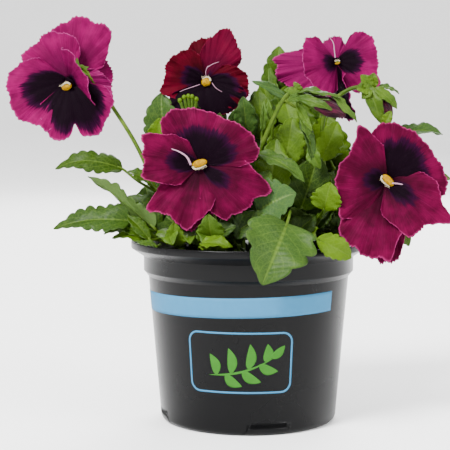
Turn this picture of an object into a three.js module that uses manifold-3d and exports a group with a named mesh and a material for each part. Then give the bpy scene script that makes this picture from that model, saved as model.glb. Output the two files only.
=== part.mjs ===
// Potted pansy in a round nursery pot, in bloom.
// Units are millimetres, +Z is up, and the origin is the centre of the pot's flat underside.
// -Y is the front, where most of the blooms look.
import * as THREE from 'three';
import { mergeVertices } from 'three/addons/utils/BufferGeometryUtils.js';
import Module from 'manifold-3d';

const wasm = await Module();
wasm.setup();

// ---------------------------------------------------------------- driving dimensions

const POT_HEIGHT = 88;
const BASE_RADIUS = 42.9;
const WALL_SLOPE = 0.0864;
const WALL = 1.2;
const FLOOR = 1.6;
const CORNER = 3;
const SHOULDER_Z = 71;
const COLLAR_Z = 74;
const COLLAR_RADIUS = 51.4;
const FLARE_Z = 80.7;
const LIP_Z = 84.3;
const LIP_RADIUS = 57.5;
const POT_SIDES = 36;

const POCKETS = 4;
const POCKET_TURN = 12.7;
const POCKET_HEIGHT = 4.6;
const POCKET_DEPTH = 12;
const POCKET_FOOT = 26;
const POCKET_TOP = 17.5;
const DRAIN_RADIUS = 3.5;

const SOIL_EDGE_Z = 76;
const SOIL_MOUND = 2.5;
const SOIL_SIDES = 18;
const GAP = 0.3;

const STEM_RADIUS = 1.7;
const STALK_RADIUS = 1.1;
const PETIOLE_RADIUS = 0.9;
const ROOT_Z = 66;
const HOLE_RADIUS = 3;

const BLADE = 0.6;
const LEAF_ROWS = 6;
const NARROW_LEAF = 9;
const PETIOLE_GRIP = 0.07;
const TOOTH_DEPTH = 0.16;
const CALYX_RADIUS = 1.9;
const CALYX_SET_BACK = 5.8;
const SEPALS = 5;
const SEPAL_NOTCH = 0.25;
const HUB_RADIUS = 2.4;
const EYE_RADIUS = 1.6;
const CLAW = 1.3;
const PETAL_COLUMNS = 6;
const PETAL_ROWS = 3;
const BUD_SIDES = 9;
const BUD_RINGS = 6;
const BUD_FOLDS = 3;
const BACK_LEAVES = 5;
const BACK_STEP = 13.5;

// ---------------------------------------------------------------- materials

const plastic = new THREE.MeshStandardMaterial({ color: 0x26282a, roughness: 0.45, metalness: 0 });
const earth = new THREE.MeshStandardMaterial({ color: 0x2c1f16, roughness: 0.95, metalness: 0 });
const green = new THREE.MeshStandardMaterial({ color: 0x5d8f2c, roughness: 0.6, metalness: 0 });
const magenta = new THREE.MeshStandardMaterial({ color: 0x9a0b58, roughness: 0.7, metalness: 0 });
const crimson = new THREE.MeshStandardMaterial({ color: 0x6d0a2a, roughness: 0.7, metalness: 0 });
const plum = new THREE.MeshStandardMaterial({ color: 0x4f1432, roughness: 0.7, metalness: 0 });
const yellow = new THREE.MeshStandardMaterial({ color: 0xf2b90f, roughness: 0.6, metalness: 0 });

// ---------------------------------------------------------------- solids

const vector = (point) => new THREE.Vector3(...point);
const lerp = THREE.MathUtils.lerp;
const radians = THREE.MathUtils.degToRad;

function solid(geometry) {
  const bare = geometry.clone();
  bare.deleteAttribute('normal');
  bare.deleteAttribute('uv');
  const merged = mergeVertices(bare, 1e-4);
  const vertProperties = new Float32Array(merged.attributes.position.array);
  const triVerts = new Uint32Array(merged.index.array);
  return new wasm.Manifold(new wasm.Mesh({ numProp: 3, vertProperties, triVerts }));
}

const join = (solids) => solids.reduce((whole, piece) => whole.add(piece));

function mesh(name, body, material) {
  const { vertProperties, triVerts } = body.getMesh();
  const geometry = new THREE.BufferGeometry();
  geometry.setAttribute('position', new THREE.BufferAttribute(vertProperties, 3));
  geometry.setIndex(new THREE.BufferAttribute(triVerts, 1));
  geometry.computeVertexNormals();
  const node = new THREE.Mesh(geometry, material);
  node.name = name;
  return node;
}

// A lathe turns about Y, so its profile of [radius, height] pairs is stood up along Z.
function turned(profile, sides) {
  const points = profile.map(([radius, height]) => new THREE.Vector2(radius, height));
  return solid(new THREE.LatheGeometry(points, sides).rotateX(Math.PI / 2));
}

function tube(points, radius, sides, steps) {
  const curve = new THREE.CatmullRomCurve3(points.map(vector));
  const ring = [];
  for (let side = 0; side < sides; side++) {
    const angle = (2 * Math.PI * side) / sides;
    ring.push(new THREE.Vector2(radius * Math.cos(angle), radius * Math.sin(angle)));
  }
  const section = new THREE.Shape(ring);
  return solid(new THREE.ExtrudeGeometry(section, { steps, extrudePath: curve }));
}

// A closed sheet about the surface point(across, along), both running from 0 to 1.
// Its two faces are split by the same diagonals, so that they never cross.
function sheet(point, columns, rows, thickness) {
  const nudge = 0.01;
  const corners = [];
  for (let row = 0; row <= rows; row++) {
    for (let column = 0; column <= columns; column++) {
      const across = column / columns;
      const along = row / rows;
      const sideways = point(across + nudge, along).sub(point(across - nudge, along));
      const lengthways = point(across, along + nudge).sub(point(across, along - nudge));
      const offset = sideways.cross(lengthways).setLength(thickness / 2);
      const middle = point(across, along);
      corners.push(middle.clone().add(offset), middle.clone().sub(offset));
    }
  }
  const upper = (column, row) => 2 * (row * (columns + 1) + column);
  const lower = (column, row) => upper(column, row) + 1;
  const triangles = [];
  const quad = (a, b, c, d) => triangles.push(a, b, c, a, c, d);
  for (let row = 0; row < rows; row++) {
    for (let column = 0; column < columns; column++) {
      quad(upper(column, row), upper(column + 1, row), upper(column + 1, row + 1), upper(column, row + 1));
      triangles.push(lower(column, row), lower(column + 1, row + 1), lower(column + 1, row));
      triangles.push(lower(column, row), lower(column, row + 1), lower(column + 1, row + 1));
    }
  }
  const rim = [];
  for (let column = 0; column < columns; column++) rim.push([column, 0]);
  for (let row = 0; row < rows; row++) rim.push([columns, row]);
  for (let column = columns; column > 0; column--) rim.push([column, rows]);
  for (let row = rows; row > 0; row--) rim.push([0, row]);
  rim.forEach((here, i) => {
    const next = rim[(i + 1) % rim.length];
    quad(upper(...here), lower(...here), lower(...next), upper(...next));
  });
  const geometry = new THREE.BufferGeometry();
  const places = corners.flatMap((corner) => corner.toArray());
  geometry.setAttribute('position', new THREE.Float32BufferAttribute(places, 3));
  geometry.setIndex(triangles);
  return solid(geometry);
}

// The point at given distances along, across and out of a blade from its base.
function onBlade({ along, across, out }, base, [y, x, z]) {
  return vector(base).addScaledVector(along, y).addScaledVector(across, x).addScaledVector(out, z);
}

// Directions along, across and out of a blade that runs from base to tip and faces one way.
function bladeFrame(base, tip, face) {
  const along = vector(tip).sub(vector(base));
  const length = along.length();
  along.normalize();
  const out = vector(face).addScaledVector(along, -vector(face).dot(along)).normalize();
  const across = along.clone().cross(out);
  return { along, across, out, length };
}

// ---------------------------------------------------------------- pot and soil

const wallRadius = (z) => BASE_RADIUS + WALL_SLOPE * z;

function potOutside() {
  const corner = [];
  for (let step = 0; step <= 3; step++) {
    const angle = (Math.PI / 2) * (step / 3);
    const radius = wallRadius(CORNER) - CORNER + CORNER * Math.sin(angle);
    corner.push([radius, CORNER - CORNER * Math.cos(angle)]);
  }
  return [
    [0, 0],
    ...corner,
    [wallRadius(SHOULDER_Z), SHOULDER_Z],
    [COLLAR_RADIUS, COLLAR_Z],
    [COLLAR_RADIUS + 0.7, FLARE_Z],
    [LIP_RADIUS, LIP_Z],
    [LIP_RADIUS, POT_HEIGHT - 1],
    [LIP_RADIUS - 0.6, POT_HEIGHT],
    [0, POT_HEIGHT],
  ];
}

function potInside(clearance, top) {
  const inset = WALL + clearance;
  return [
    [0, FLOOR + clearance],
    [wallRadius(FLOOR) - inset - 1.5, FLOOR + clearance],
    [wallRadius(CORNER) - inset, CORNER + clearance],
    [wallRadius(SHOULDER_Z) - inset, SHOULDER_Z + 0.5],
    [COLLAR_RADIUS - inset, COLLAR_Z + 0.5],
    ...top,
  ];
}

// A trapezoid drainage pocket in the foot of the wall, grown by a margin.
function pocket(index, margin) {
  const foot = POCKET_FOOT / 2 + margin;
  const head = POCKET_TOP / 2 + margin;
  const outline = new THREE.Shape([
    new THREE.Vector2(-foot, -1),
    new THREE.Vector2(foot, -1),
    new THREE.Vector2(head, POCKET_HEIGHT + margin),
    new THREE.Vector2(-head, POCKET_HEIGHT + margin),
  ]);
  const reach = BASE_RADIUS - POCKET_DEPTH - margin;
  const wedge = new THREE.ExtrudeGeometry(outline, { depth: 2 * POCKET_DEPTH, bevelEnabled: false });
  wedge.rotateX(Math.PI / 2).translate(0, -reach, 0);
  return solid(wedge.rotateZ(radians(POCKET_TURN + (360 / POCKETS) * index)));
}

function drain(index) {
  const hole = new THREE.CylinderGeometry(DRAIN_RADIUS, DRAIN_RADIUS, 3 * POCKET_HEIGHT, 12);
  hole.rotateX(Math.PI / 2).translate(0, -(BASE_RADIUS - POCKET_DEPTH / 2 - 1), POCKET_HEIGHT);
  return solid(hole.rotateZ(radians(POCKET_TURN + (360 / POCKETS) * index)));
}

const pocketNumbers = [...Array(POCKETS).keys()];

function pot() {
  const inside = potInside(0, [
    [COLLAR_RADIUS - WALL + 0.6, FLARE_Z + 0.8],
    [LIP_RADIUS - WALL - 0.4, LIP_Z + 0.8],
    [LIP_RADIUS - WALL - 0.2, POT_HEIGHT + 1],
    [0, POT_HEIGHT + 1],
  ]);
  let hollow = turned(inside, POT_SIDES);
  let shell = turned(potOutside(), POT_SIDES);
  for (const index of pocketNumbers) {
    hollow = hollow.subtract(pocket(index, WALL));
    shell = shell.subtract(pocket(index, 0)).subtract(drain(index));
  }
  return shell.subtract(hollow);
}

// The height of the soil's broad lumps and of the smaller ones between them.
function lumps(x, y) {
  const broad = 0.9 * Math.sin(0.31 * x + 1.3) * Math.cos(0.27 * y);
  const small = 0.6 * Math.sin(0.53 * y + 0.4 * x);
  return broad + small;
}

function soil(stems) {
  const edge = COLLAR_RADIUS - WALL - GAP - 0.1;
  const rings = [0.95, 0.72, 0.48, 0.24, 0];
  const top = rings.map((part) => [part * edge, SOIL_EDGE_Z + SOIL_MOUND * (1 - part * part)]);
  const inside = potInside(GAP, [[edge, SOIL_EDGE_Z - 0.6], ...top]);
  const profile = inside.map(([radius, height]) => new THREE.Vector2(radius, height));
  const lathe = new THREE.LatheGeometry(profile, SOIL_SIDES).rotateX(Math.PI / 2);
  const place = lathe.attributes.position;
  for (let i = 0; i < place.count; i++) {
    if (place.getZ(i) >= SOIL_EDGE_Z) {
      place.setZ(i, place.getZ(i) + lumps(place.getX(i), place.getY(i)));
    }
  }
  let body = solid(lathe);
  for (const index of pocketNumbers) {
    body = body.subtract(pocket(index, WALL + GAP));
  }
  for (const stem of stems) {
    const hole = new THREE.CylinderGeometry(HOLE_RADIUS, HOLE_RADIUS, 30, 8).rotateX(Math.PI / 2);
    body = body.subtract(solid(hole.translate(...stem.root, ROOT_Z - 1 + 15)));
  }
  return body;
}

// ---------------------------------------------------------------- leaves and stems

// Half width along a leaf: a wedge at the base, broadest below the middle, blunt at the tip.
const leafOutline = (along) => Math.max(0.1, Math.sin(Math.PI * along ** 0.8) ** 0.7);

// A blade with a folded midrib, an arched length and a waved edge cut into round teeth.
function blade({ base, tip, face, width, arch = 0.1, fold = 0.3, wave = 0.05, turn = 0 }) {
  const frame = bladeFrame(base, tip, face);
  const { length } = frame;
  const toothed = width > NARROW_LEAF;
  return sheet((s, t) => {
    const u = 2 * s - 1;
    const inside = THREE.MathUtils.clamp(t, 0, 1);
    const tooth = toothed ? 1 - TOOTH_DEPTH * (0.5 - 0.5 * Math.cos(LEAF_ROWS * Math.PI * t)) : 1;
    const reach = u * leafOutline(inside) * tooth;
    const x = (width / 2) * reach;
    const ripple = wave * length * reach * Math.sin(9 * t + 2 * u + turn);
    const z = arch * length * 4 * t * (1 - t) + Math.abs(x) * fold + ripple;
    return onBlade(frame, base, [t * length, x, z]);
  }, 2, toothed ? LEAF_ROWS : LEAF_ROWS / 2, BLADE);
}

// The point on a blade's midrib at a share of its length.
function midrib({ base, tip, face, arch = 0.1 }, share) {
  const frame = bladeFrame(base, tip, face);
  const rise = arch * frame.length * 4 * share * (1 - share);
  return onBlade(frame, base, [share * frame.length, 0, rise]).toArray();
}

// A leaf is its blade and the petiole that carries it from a joint on the stem.
function leaf(spec) {
  const { joint, base, via } = spec;
  const middle = vector(joint).lerp(vector(base), 0.55);
  middle.z -= 0.08 * middle.distanceTo(vector(joint));
  const route = [joint, via ?? middle.toArray(), base, midrib(spec, PETIOLE_GRIP)];
  return [blade(spec), tube(route, PETIOLE_RADIUS, 3, 4)];
}

// Stands a solid that was built about +Z in place, with that axis along a direction.
function aimed(geometry, direction, centre) {
  const turn = new THREE.Quaternion().setFromUnitVectors(vector([0, 0, 1]), vector(direction).normalize());
  return solid(geometry.applyQuaternion(turn).translate(...centre));
}

// The ring of sepals at the end of a stalk, one star with a raised middle that the stalk enters.
function calyx({ centre, toward, reach = 9, splay = 1.9 }) {
  const rim = (offset) => [
    reach * Math.sin(splay) + offset * Math.cos(splay),
    reach * Math.cos(splay) - offset * Math.sin(splay),
  ];
  const profile = [[0, -CALYX_RADIUS], rim(BLADE / 2), rim(-BLADE / 2), [0, CALYX_RADIUS]];
  const points = profile.map(([radius, height]) => new THREE.Vector2(radius, height));
  const star = new THREE.LatheGeometry(points, 2 * SEPALS).rotateX(Math.PI / 2);
  const [away, up] = [Math.sin(splay), Math.cos(splay)].map((part) => part * reach * (1 - SEPAL_NOTCH));
  const place = star.attributes.position;
  for (let i = 0; i < place.count; i++) {
    const radius = Math.hypot(place.getX(i), place.getY(i));
    const isNotch = Math.floor(i / profile.length) % 2 === 1;
    if (isNotch && radius > CALYX_RADIUS) {
      const shrink = (radius - away) / radius;
      place.setXYZ(i, place.getX(i) * shrink, place.getY(i) * shrink, place.getZ(i) - up);
    }
  }
  return aimed(star, toward, centre);
}

// ---------------------------------------------------------------- petals

// A fan-shaped petal from its claw in the throat to its waved outer edge. Spread is the half angle of the
// fan, layer lifts the petal over its neighbours, and a corner draws the edge out at one angle.
function petal(hub, spec) {
  const { tip, width, face, arch = 0.06, cup = 0, ruffle = 0.9, turn = 0 } = spec;
  const { layer = 0, spread = 2.1, corner = 0, cornerAt = 0 } = spec;
  const frame = bladeFrame(hub, vector(hub).add(vector(tip)).toArray(), face);
  const { length } = frame;
  return sheet((s, t) => {
    const angle = (2 * s - 1) * spread;
    const r = lerp(CLAW / length, 1, t);
    const reach = r * (1 + corner * Math.exp(-(((angle - cornerAt) / 0.5) ** 2)));
    const x = reach * (width / 2) * Math.sin(angle);
    const y = reach * (0.52 + 0.48 * Math.cos(angle));
    const bend = arch * length * 4 * y * (1 - y) + cup * width * (2 * x / width) ** 2;
    const z = bend + ruffle * r ** 3 * Math.sin(3.1 * angle + turn) + layer * Math.min(1, 3 * r);
    return onBlade(frame, hub, [y * length, x, z]);
  }, PETAL_COLUMNS, PETAL_ROWS, BLADE);
}

function bloomPetals({ hub, petals }) {
  const throat = solid(new THREE.IcosahedronGeometry(HUB_RADIUS, 0).translate(...hub));
  return join([throat, ...petals.map((spec) => petal(hub, spec))]);
}

function bloomEye({ hub, facing, eye = facing, eyeReach = HUB_RADIUS + GAP + EYE_RADIUS }) {
  const ball = new THREE.IcosahedronGeometry(EYE_RADIUS, 0);
  const place = vector(hub).addScaledVector(vector(eye).normalize(), eyeReach);
  return solid(ball.translate(...place.toArray()));
}

// Where the calyx sits behind a bloom that faces one way.
function calyxBehind({ hub, facing, setBack = CALYX_SET_BACK, reach }) {
  const centre = vector(hub).addScaledVector(vector(facing).normalize(), -setBack);
  return { centre: centre.toArray(), toward: facing, reach };
}

// Furled petals wound in a spindle with shallow twisted folds, just clear of the calyx that holds them.
function budPetals({ centre, toward, petalLength, petalWidth }) {
  const profile = [];
  for (let ring = 0; ring <= BUD_RINGS; ring++) {
    const share = ring / BUD_RINGS;
    const radius = (petalWidth / 2) * Math.sin(Math.PI * share) ** 0.8;
    profile.push(new THREE.Vector2(radius, CALYX_RADIUS + GAP + share * petalLength));
  }
  const spindle = new THREE.LatheGeometry(profile, BUD_SIDES).rotateX(Math.PI / 2);
  const place = spindle.attributes.position;
  for (let i = 0; i < place.count; i++) {
    const angle = Math.atan2(place.getY(i), place.getX(i));
    const fold = 1 + 0.18 * Math.cos(BUD_FOLDS * angle + 0.25 * place.getZ(i));
    place.setXYZ(i, place.getX(i) * fold, place.getY(i) * fold, place.getZ(i));
  }
  return aimed(spindle, toward, centre);
}

// ---------------------------------------------------------------- layout of the blooms

// Every petal's tip is measured from its bloom's hub. Upper petals come first, then the sides, then the lip.
const blooms = {
  bloom_left: {
    color: magenta, hub: [-87, -4, 166], facing: [-0.59, 0.46, -0.66],
    eye: [-0.3, -0.7, -0.65], eyeReach: 5.7, setBack: 8, reach: 6,
    petals: [
      { tip: [-16, 3, 20], width: 27, face: [-0.2, -0.9, 0.2], layer: -1.4, corner: 0.12, cornerAt: -1 },
      { tip: [14, 14, 31], width: 32, face: [0.1, -0.9, 0.35], layer: -3 },
      { tip: [-28, -5, -13], width: 33, face: [-0.3, -0.95, 0] },
      { tip: [15, -10, -8], width: 40, face: [-0.85, -0.3, -0.45], layer: 0.4, arch: -0.04 },
      { tip: [7, -6, -27], width: 33, face: [0, -0.95, 0.15], layer: 1.2 },
    ],
  },
  bloom_front: {
    color: magenta, hub: [-22.3, -36, 125.8], facing: [0, -1, 0.1],
    petals: [
      { tip: [-9, -4, -29], width: 30, face: [-0.1, -1, 0.1], layer: -2.6 },
      { tip: [-12, -7, -26], width: 26, face: [-0.1, -1, 0.15], layer: -1.3 },
      { tip: [-28, -6, 4], width: 26, face: [-0.1, -1, 0.1] },
      { tip: [24, -4, -17], width: 28, face: [0.1, -1, 0.1], layer: 0.2, corner: 0.2, cornerAt: -0.6 },
      { tip: [7, 2, 25], width: 44, face: [0, -1, 0.2], layer: 1.2, spread: 2.3 },
    ],
  },
  bloom_top: {
    color: crimson, hub: [-21, 7, 166], facing: [0, -1, -0.05],
    petals: [
      { tip: [0, 5, 22], width: 20, face: [0, -1, 0.1], layer: -2.4 },
      { tip: [13, 4, 21], width: 20, face: [0.1, -1, 0.1], layer: -1.2, corner: 0.18, cornerAt: -0.5 },
      { tip: [-20, -4, 5], width: 25, face: [-0.2, -1, 0] },
      { tip: [21, -4, -6], width: 22, face: [0.2, -1, 0], layer: 0.2 },
      { tip: [2, -5, -18], width: 36, face: [0, -1, 0.2], layer: 1.2 },
    ],
  },
  bloom_right_top: {
    color: magenta, hub: [43.5, 12, 175.5], facing: [0, -1, -0.1],
    petals: [
      { tip: [-28, 7, -6], width: 21, face: [-0.1, -1, 0.1], layer: -2.4 },
      { tip: [-2, 6, 13], width: 12, face: [0, -1, 0.1], layer: -1.4 },
      { tip: [-17, -6, -2], width: 28, face: [-0.35, -0.9, 0] },
      { tip: [17, -5, 5], width: 32, face: [0.3, -0.9, 0.1], layer: 0.2 },
      { tip: [9, -4, -28], width: 24, face: [-0.9, -0.35, -0.1], layer: 0.8 },
    ],
  },
  bloom_right: {
    color: magenta, hub: [64.5, -27, 118], facing: [0, -1, 0.05],
    petals: [
      { tip: [0, -11, -37.5], width: 18, face: [0.1, -1, 0.1], layer: -2.6 },
      { tip: [-12, -13, -33], width: 27, face: [-0.1, -1, 0.1], layer: -1.3 },
      { tip: [-24, -6, 6], width: 40, face: [-0.2, -1, 0] },
      { tip: [20, -6, -20], width: 29, face: [0.1, -1, 0.2], layer: 0.2, corner: 0.2, cornerAt: -0.7 },
      { tip: [16, 3, 20], width: 43, face: [0.1, -1, 0.1], layer: 1.2, spread: 2.3 },
    ],
  },
};

const buds = {
  bud_left: {
    centre: [25, -28, 158], toward: [19, -5, -10], reach: 14, splay: 0.82, petalLength: 18, petalWidth: 8,
  },
  bud_right: {
    centre: [56.5, -10, 162.5], toward: [10, -3, -12], reach: 13, splay: 0.82, petalLength: 17, petalWidth: 8,
  },
};

// ---------------------------------------------------------------- layout of the leafy stems

const leafOf = (joint, base, tip, face, width, more = {}) => ({ joint, base, tip, face, width, ...more });

// Each stem stands in the soil at its root. Leaves leave it at a joint, and a stalk bears a bloom or a bud.
const frontStems = {
  leafy_stem_left: {
    root: [-22, -6], stem: [[-24, -7, 90], [-32, -9, 102], [-44, -11, 113]],
    bears: calyxBehind(blooms.bloom_left),
    stalk: [
      [-44, -11, 112], [-54, -8, 134], [-66, -5, 153], [-74, -5, 164], [-79, -7, 171], [-81, -8, 172.5],
    ],
    leaves: [
      leafOf([-44, -11, 112], [-61, -8, 123], [-94, -5, 124], [0.05, -0.35, 0.95], 19, { arch: 0.2 }),
      leafOf([-42, -11, 111], [-48, -17, 117], [-58, -15, 122], [0, -0.5, 0.85], 8),
    ],
  },
  leafy_stem_left_low: {
    root: [-30, -20], stem: [[-33, -21, 88], [-41, -23, 94]],
    leaves: [
      leafOf([-40, -23, 93], [-57, -24, 99], [-92, -20, 96], [0.1, -0.75, 0.65], 20),
      leafOf([-40, -23, 93], [-44, -29, 96], [-74, -22, 120], [0.5, 0.6, 0.6], 18, { arch: 0.02 }),
      leafOf([-38, -22, 92], [-48, -33, 93], [-57, -29, 102], [0, -0.8, 0.6], 9),
      leafOf([-38, -22, 92], [-50, -22, 93], [-69, -20, 92.5], [-0.1, -0.4, 0.9], 10),
      leafOf([-36, -22, 90], [-44, -28, 90.5], [-52, -24, 91], [0, -0.4, 0.9], 5),
    ],
  },
  leafy_stem_front_left: {
    root: [-12, -26], stem: [[-14, -27, 88], [-17, -26, 96]],
    bears: calyxBehind(blooms.bloom_front),
    stalk: [[-17, -26, 95], [-15, -19, 110], [-17, -18, 122], [-21, -22, 129]],
    leaves: [
      leafOf([-16, -26, 92], [-38, -30, 96], [-35, -43, 89.5], [-0.1, -0.9, 0.5], 12),
      leafOf([-16, -26, 91], [-28, -34, 94], [-27, -43, 90], [0.1, -0.9, 0.4], 7),
      leafOf([-16, -26, 93], [-17, -31, 95], [-19, -46, 88.5], [0, -0.95, 0.4], 14),
      leafOf([-15, -27, 90], [-22, -45, 90], [-8, -50, 89], [0, -0.5, 0.85], 10),
    ],
  },
  leafy_stem_front_right: {
    root: [12, -26], stem: [[13, -26, 90], [14, -27, 99]],
    leaves: [
      leafOf([14, -27, 98], [4, -32, 106], [21, -37, 115], [0.05, -0.85, 0.5], 20),
      leafOf([14, -27, 99], [5, -30, 113], [10, -29, 123], [0, -0.8, 0.6], 10),
      leafOf([14, -27, 97], [7, -33, 103], [11, -45, 96], [0, -0.9, 0.4], 15),
      leafOf([13, -26, 92], [3, -28, 100], [-6, -38, 92], [0, -0.9, 0.4], 15),
      leafOf([14, -27, 98], [21, -49, 99], [8, -65, 74], [0.2, -0.9, 0.4], 34, {
        via: [20, -39, 104], arch: 0.14,
      }),
    ],
  },
  leafy_stem_right_front: {
    root: [27, -14], stem: [[30, -16, 92], [34, -20, 102]],
    bears: calyxBehind(blooms.bloom_right),
    stalk: [[34, -20, 101], [47, -13, 112], [58, -11, 122], [63, -14, 124]],
    leaves: [
      leafOf([33, -19, 100], [35, -32, 105], [38, -36, 118], [0, -0.95, 0.3], 15),
      leafOf([31, -17, 95], [31, -50, 93], [47, -46, 84], [0.1, -0.95, 0.3], 12),
    ],
  },
  leafy_stem_centre: {
    root: [6, -8], stem: [[7, -9, 100], [8, -12, 120]],
    bears: buds.bud_left,
    stalk: [[8, -12, 119], [6, -19, 132], [12, -22, 148], [17, -24, 157], [21, -26, 160]],
    leaves: [
      leafOf([8, -11, 112], [17, -14, 124], [21, -10, 148], [0.1, -0.9, 0.2], 16),
      leafOf([8, -11, 116], [21, -4, 143], [17, 2, 157], [0.1, -0.9, 0.2], 14),
      leafOf([8, -11, 110], [35, -10, 127], [43, -6, 146], [0.1, -0.9, 0.2], 13),
      leafOf([8, -12, 118], [4, -26, 131], [26, -34, 118], [0.2, -0.6, 0.75], 10),
      leafOf([17, -24, 156], [24, -22, 152], [30, -27, 127], [0.3, -0.9, 0.2], 6),
      leafOf([7, -9, 100], [25, -15, 104], [33, -17, 130], [0.1, -0.95, 0.1], 22),
      leafOf([7, -9, 104], [9, -20, 108], [13, -18, 138], [0.1, -0.95, 0.2], 19),
    ],
  },
  leafy_stem_right: {
    root: [28, 6], stem: [[32, 5, 95], [39, 4, 112], [46, 3, 124]],
    bears: buds.bud_right,
    stalk: [[39, 4, 112], [36, -5, 130], [36, -6, 146], [40, -7, 155], [49, -9, 161.5]],
    leaves: [
      leafOf([46, 3, 124], [72, 0, 139], [90, 4, 142], [0, -0.3, 0.95], 10),
      leafOf([46, 3, 123], [82, 8, 116], [96, 6, 117], [0, -0.5, 0.85], 9),
      leafOf([40, 4, 114], [74, -3, 101], [75, -7, 88], [0.1, -0.95, 0.1], 9),
    ],
  },
  leafy_stem_up_left: {
    root: [-10, 4], stem: [[-13, 5, 100], [-18, 6, 120], [-22, 7, 134]],
    bears: calyxBehind(blooms.bloom_top),
    stalk: [[-22, 7, 133], [-23, 17, 148], [-22, 20, 160], [-21.5, 17, 168]],
    leaves: [
      leafOf([-18, 6, 119], [-41, 4, 131], [-43, 6, 160], [-0.1, -0.95, 0.2], 19),
      leafOf([-15, 5, 110], [2, 4, 139], [-3, 6, 157], [0.2, -0.95, 0.2], 9),
      leafOf([-19, 6, 124], [-14, 10, 139], [-14, 12, 153], [0, -0.95, 0.2], 8),
      leafOf([-20, 6, 127], [-24, -2, 147], [-28, -3, 157], [0, -0.95, 0.1], 5),
    ],
  },
  leafy_stem_up_right: {
    root: [10, 12], stem: [[11, 14, 105], [13, 16, 130], [14, 19, 145]],
    bears: calyxBehind(blooms.bloom_right_top),
    stalk: [[14, 19, 144], [26, 27, 160], [38, 28, 173], [43, 23, 179]],
    leaves: [
      leafOf([14, 19, 143], [14, 27, 157], [17, 31, 182], [0, -0.95, -0.1], 12),
      leafOf([13, 16, 130], [10, 20, 150], [10, 26, 174], [0, -0.95, 0.1], 10),
      leafOf([12, 15, 120], [7, 10, 140], [3, 14, 161], [0.1, -0.95, 0.1], 13),
    ],
  },
};

// Leaves fan out round a heading behind the crown, low ones long and spreading, high ones upright.
function backStem(root, heading) {
  const leaves = [];
  for (let i = 0; i < BACK_LEAVES; i++) {
    const lift = ((2 * i) % BACK_LEAVES) / (BACK_LEAVES - 1);
    const angle = radians(heading + (i - (BACK_LEAVES - 1) / 2) * BACK_STEP);
    const away = (distance, height) => [distance * Math.sin(angle), distance * Math.cos(angle), height];
    const base = away(lerp(42, 24, lift), lerp(95, 122, lift));
    const tip = away(lerp(74, 40, lift), lerp(92, 142, lift));
    const joint = [...root, lerp(82, 104, lift)];
    leaves.push(leafOf(joint, base, tip, away(0.75, 0.65), lerp(25, 18, lift), { arch: 0.14, turn: i }));
  }
  return { root, stem: [[...root, 95], [...root, 106]], leaves };
}

const stems = {
  ...frontStems,
  leafy_stem_back_left: backStem([-24, 16], -63),
  leafy_stem_back: backStem([-3, 28], -4),
  leafy_stem_back_right: backStem([20, 21], 53),
};

// ---------------------------------------------------------------- assembly

function leafyStem({ root, stem, leaves, bears, stalk }) {
  const route = [[...root, ROOT_Z], [...root, ROOT_Z + 7], [...root, ROOT_Z + 14], ...stem];
  const pieces = [tube(route, STEM_RADIUS, 5, 5)];
  for (const spec of leaves) pieces.push(...leaf(spec));
  if (bears) pieces.push(tube([...stalk, bears.centre], STALK_RADIUS, 4, 9), calyx(bears));
  return join(pieces);
}

const planter = new THREE.Group();
planter.add(mesh('pot', pot(), plastic));
planter.add(mesh('soil', soil(Object.values(stems)), earth));
for (const [name, spec] of Object.entries(stems)) {
  planter.add(mesh(name, leafyStem(spec), green));
}
for (const [name, spec] of Object.entries(blooms)) {
  planter.add(mesh(`${name}_petals`, bloomPetals(spec), spec.color));
  planter.add(mesh(`${name}_eye`, bloomEye(spec), yellow));
}
for (const [name, spec] of Object.entries(buds)) {
  planter.add(mesh(`${name}_petals`, budPetals(spec), plum));
}

export default planter;
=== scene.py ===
"""Looks of a potted pansy in bloom: fine petals, leaves, pot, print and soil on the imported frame."""
import math
import random

import bpy
import numpy as np
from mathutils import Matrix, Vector


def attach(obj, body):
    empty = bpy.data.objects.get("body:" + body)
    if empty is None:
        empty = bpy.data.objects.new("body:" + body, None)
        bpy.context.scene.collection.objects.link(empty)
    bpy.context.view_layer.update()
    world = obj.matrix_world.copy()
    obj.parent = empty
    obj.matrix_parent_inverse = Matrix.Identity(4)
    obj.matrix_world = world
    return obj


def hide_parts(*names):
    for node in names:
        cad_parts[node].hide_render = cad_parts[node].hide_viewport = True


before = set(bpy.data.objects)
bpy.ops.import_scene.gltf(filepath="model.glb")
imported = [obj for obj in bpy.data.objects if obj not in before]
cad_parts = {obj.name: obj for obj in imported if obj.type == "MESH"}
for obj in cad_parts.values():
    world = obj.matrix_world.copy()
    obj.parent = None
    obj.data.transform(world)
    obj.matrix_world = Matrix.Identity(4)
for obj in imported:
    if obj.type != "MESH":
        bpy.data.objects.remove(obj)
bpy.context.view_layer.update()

# Sizes are in millimetres, and MM turns them into metres.
MM = 0.001

POT_HEIGHT = 88
BASE_RADIUS = 42.9
WALL_SLOPE = 0.0864
WALL = 1.2
FLOOR = 1.6
CORNER = 3
SHOULDER_Z = 71
COLLAR_Z = 74
COLLAR_RADIUS = 51.4
FLARE_Z = 80.7
LIP_Z = 84.3
LIP_RADIUS = 57.5
POT_SIDES = 192
POCKETS = 4
POCKET_TURN = 12.7
POCKET_HEIGHT = 4.6
POCKET_DEPTH = 12
POCKET_FOOT = 26
POCKET_TOP = 17.5
DRAIN_RADIUS = 3.5

SOIL_EDGE_Z = 76
SOIL_MOUND = 2.5
SOIL_RADIUS = 49.6
SOIL_CRUMBS = 260
CRUMB_REACH = 48
YOUNG_LEAVES = 51
YOUNG_TIERS = (14, 30, 46)
CROWN_SPLIT = 8

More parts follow.
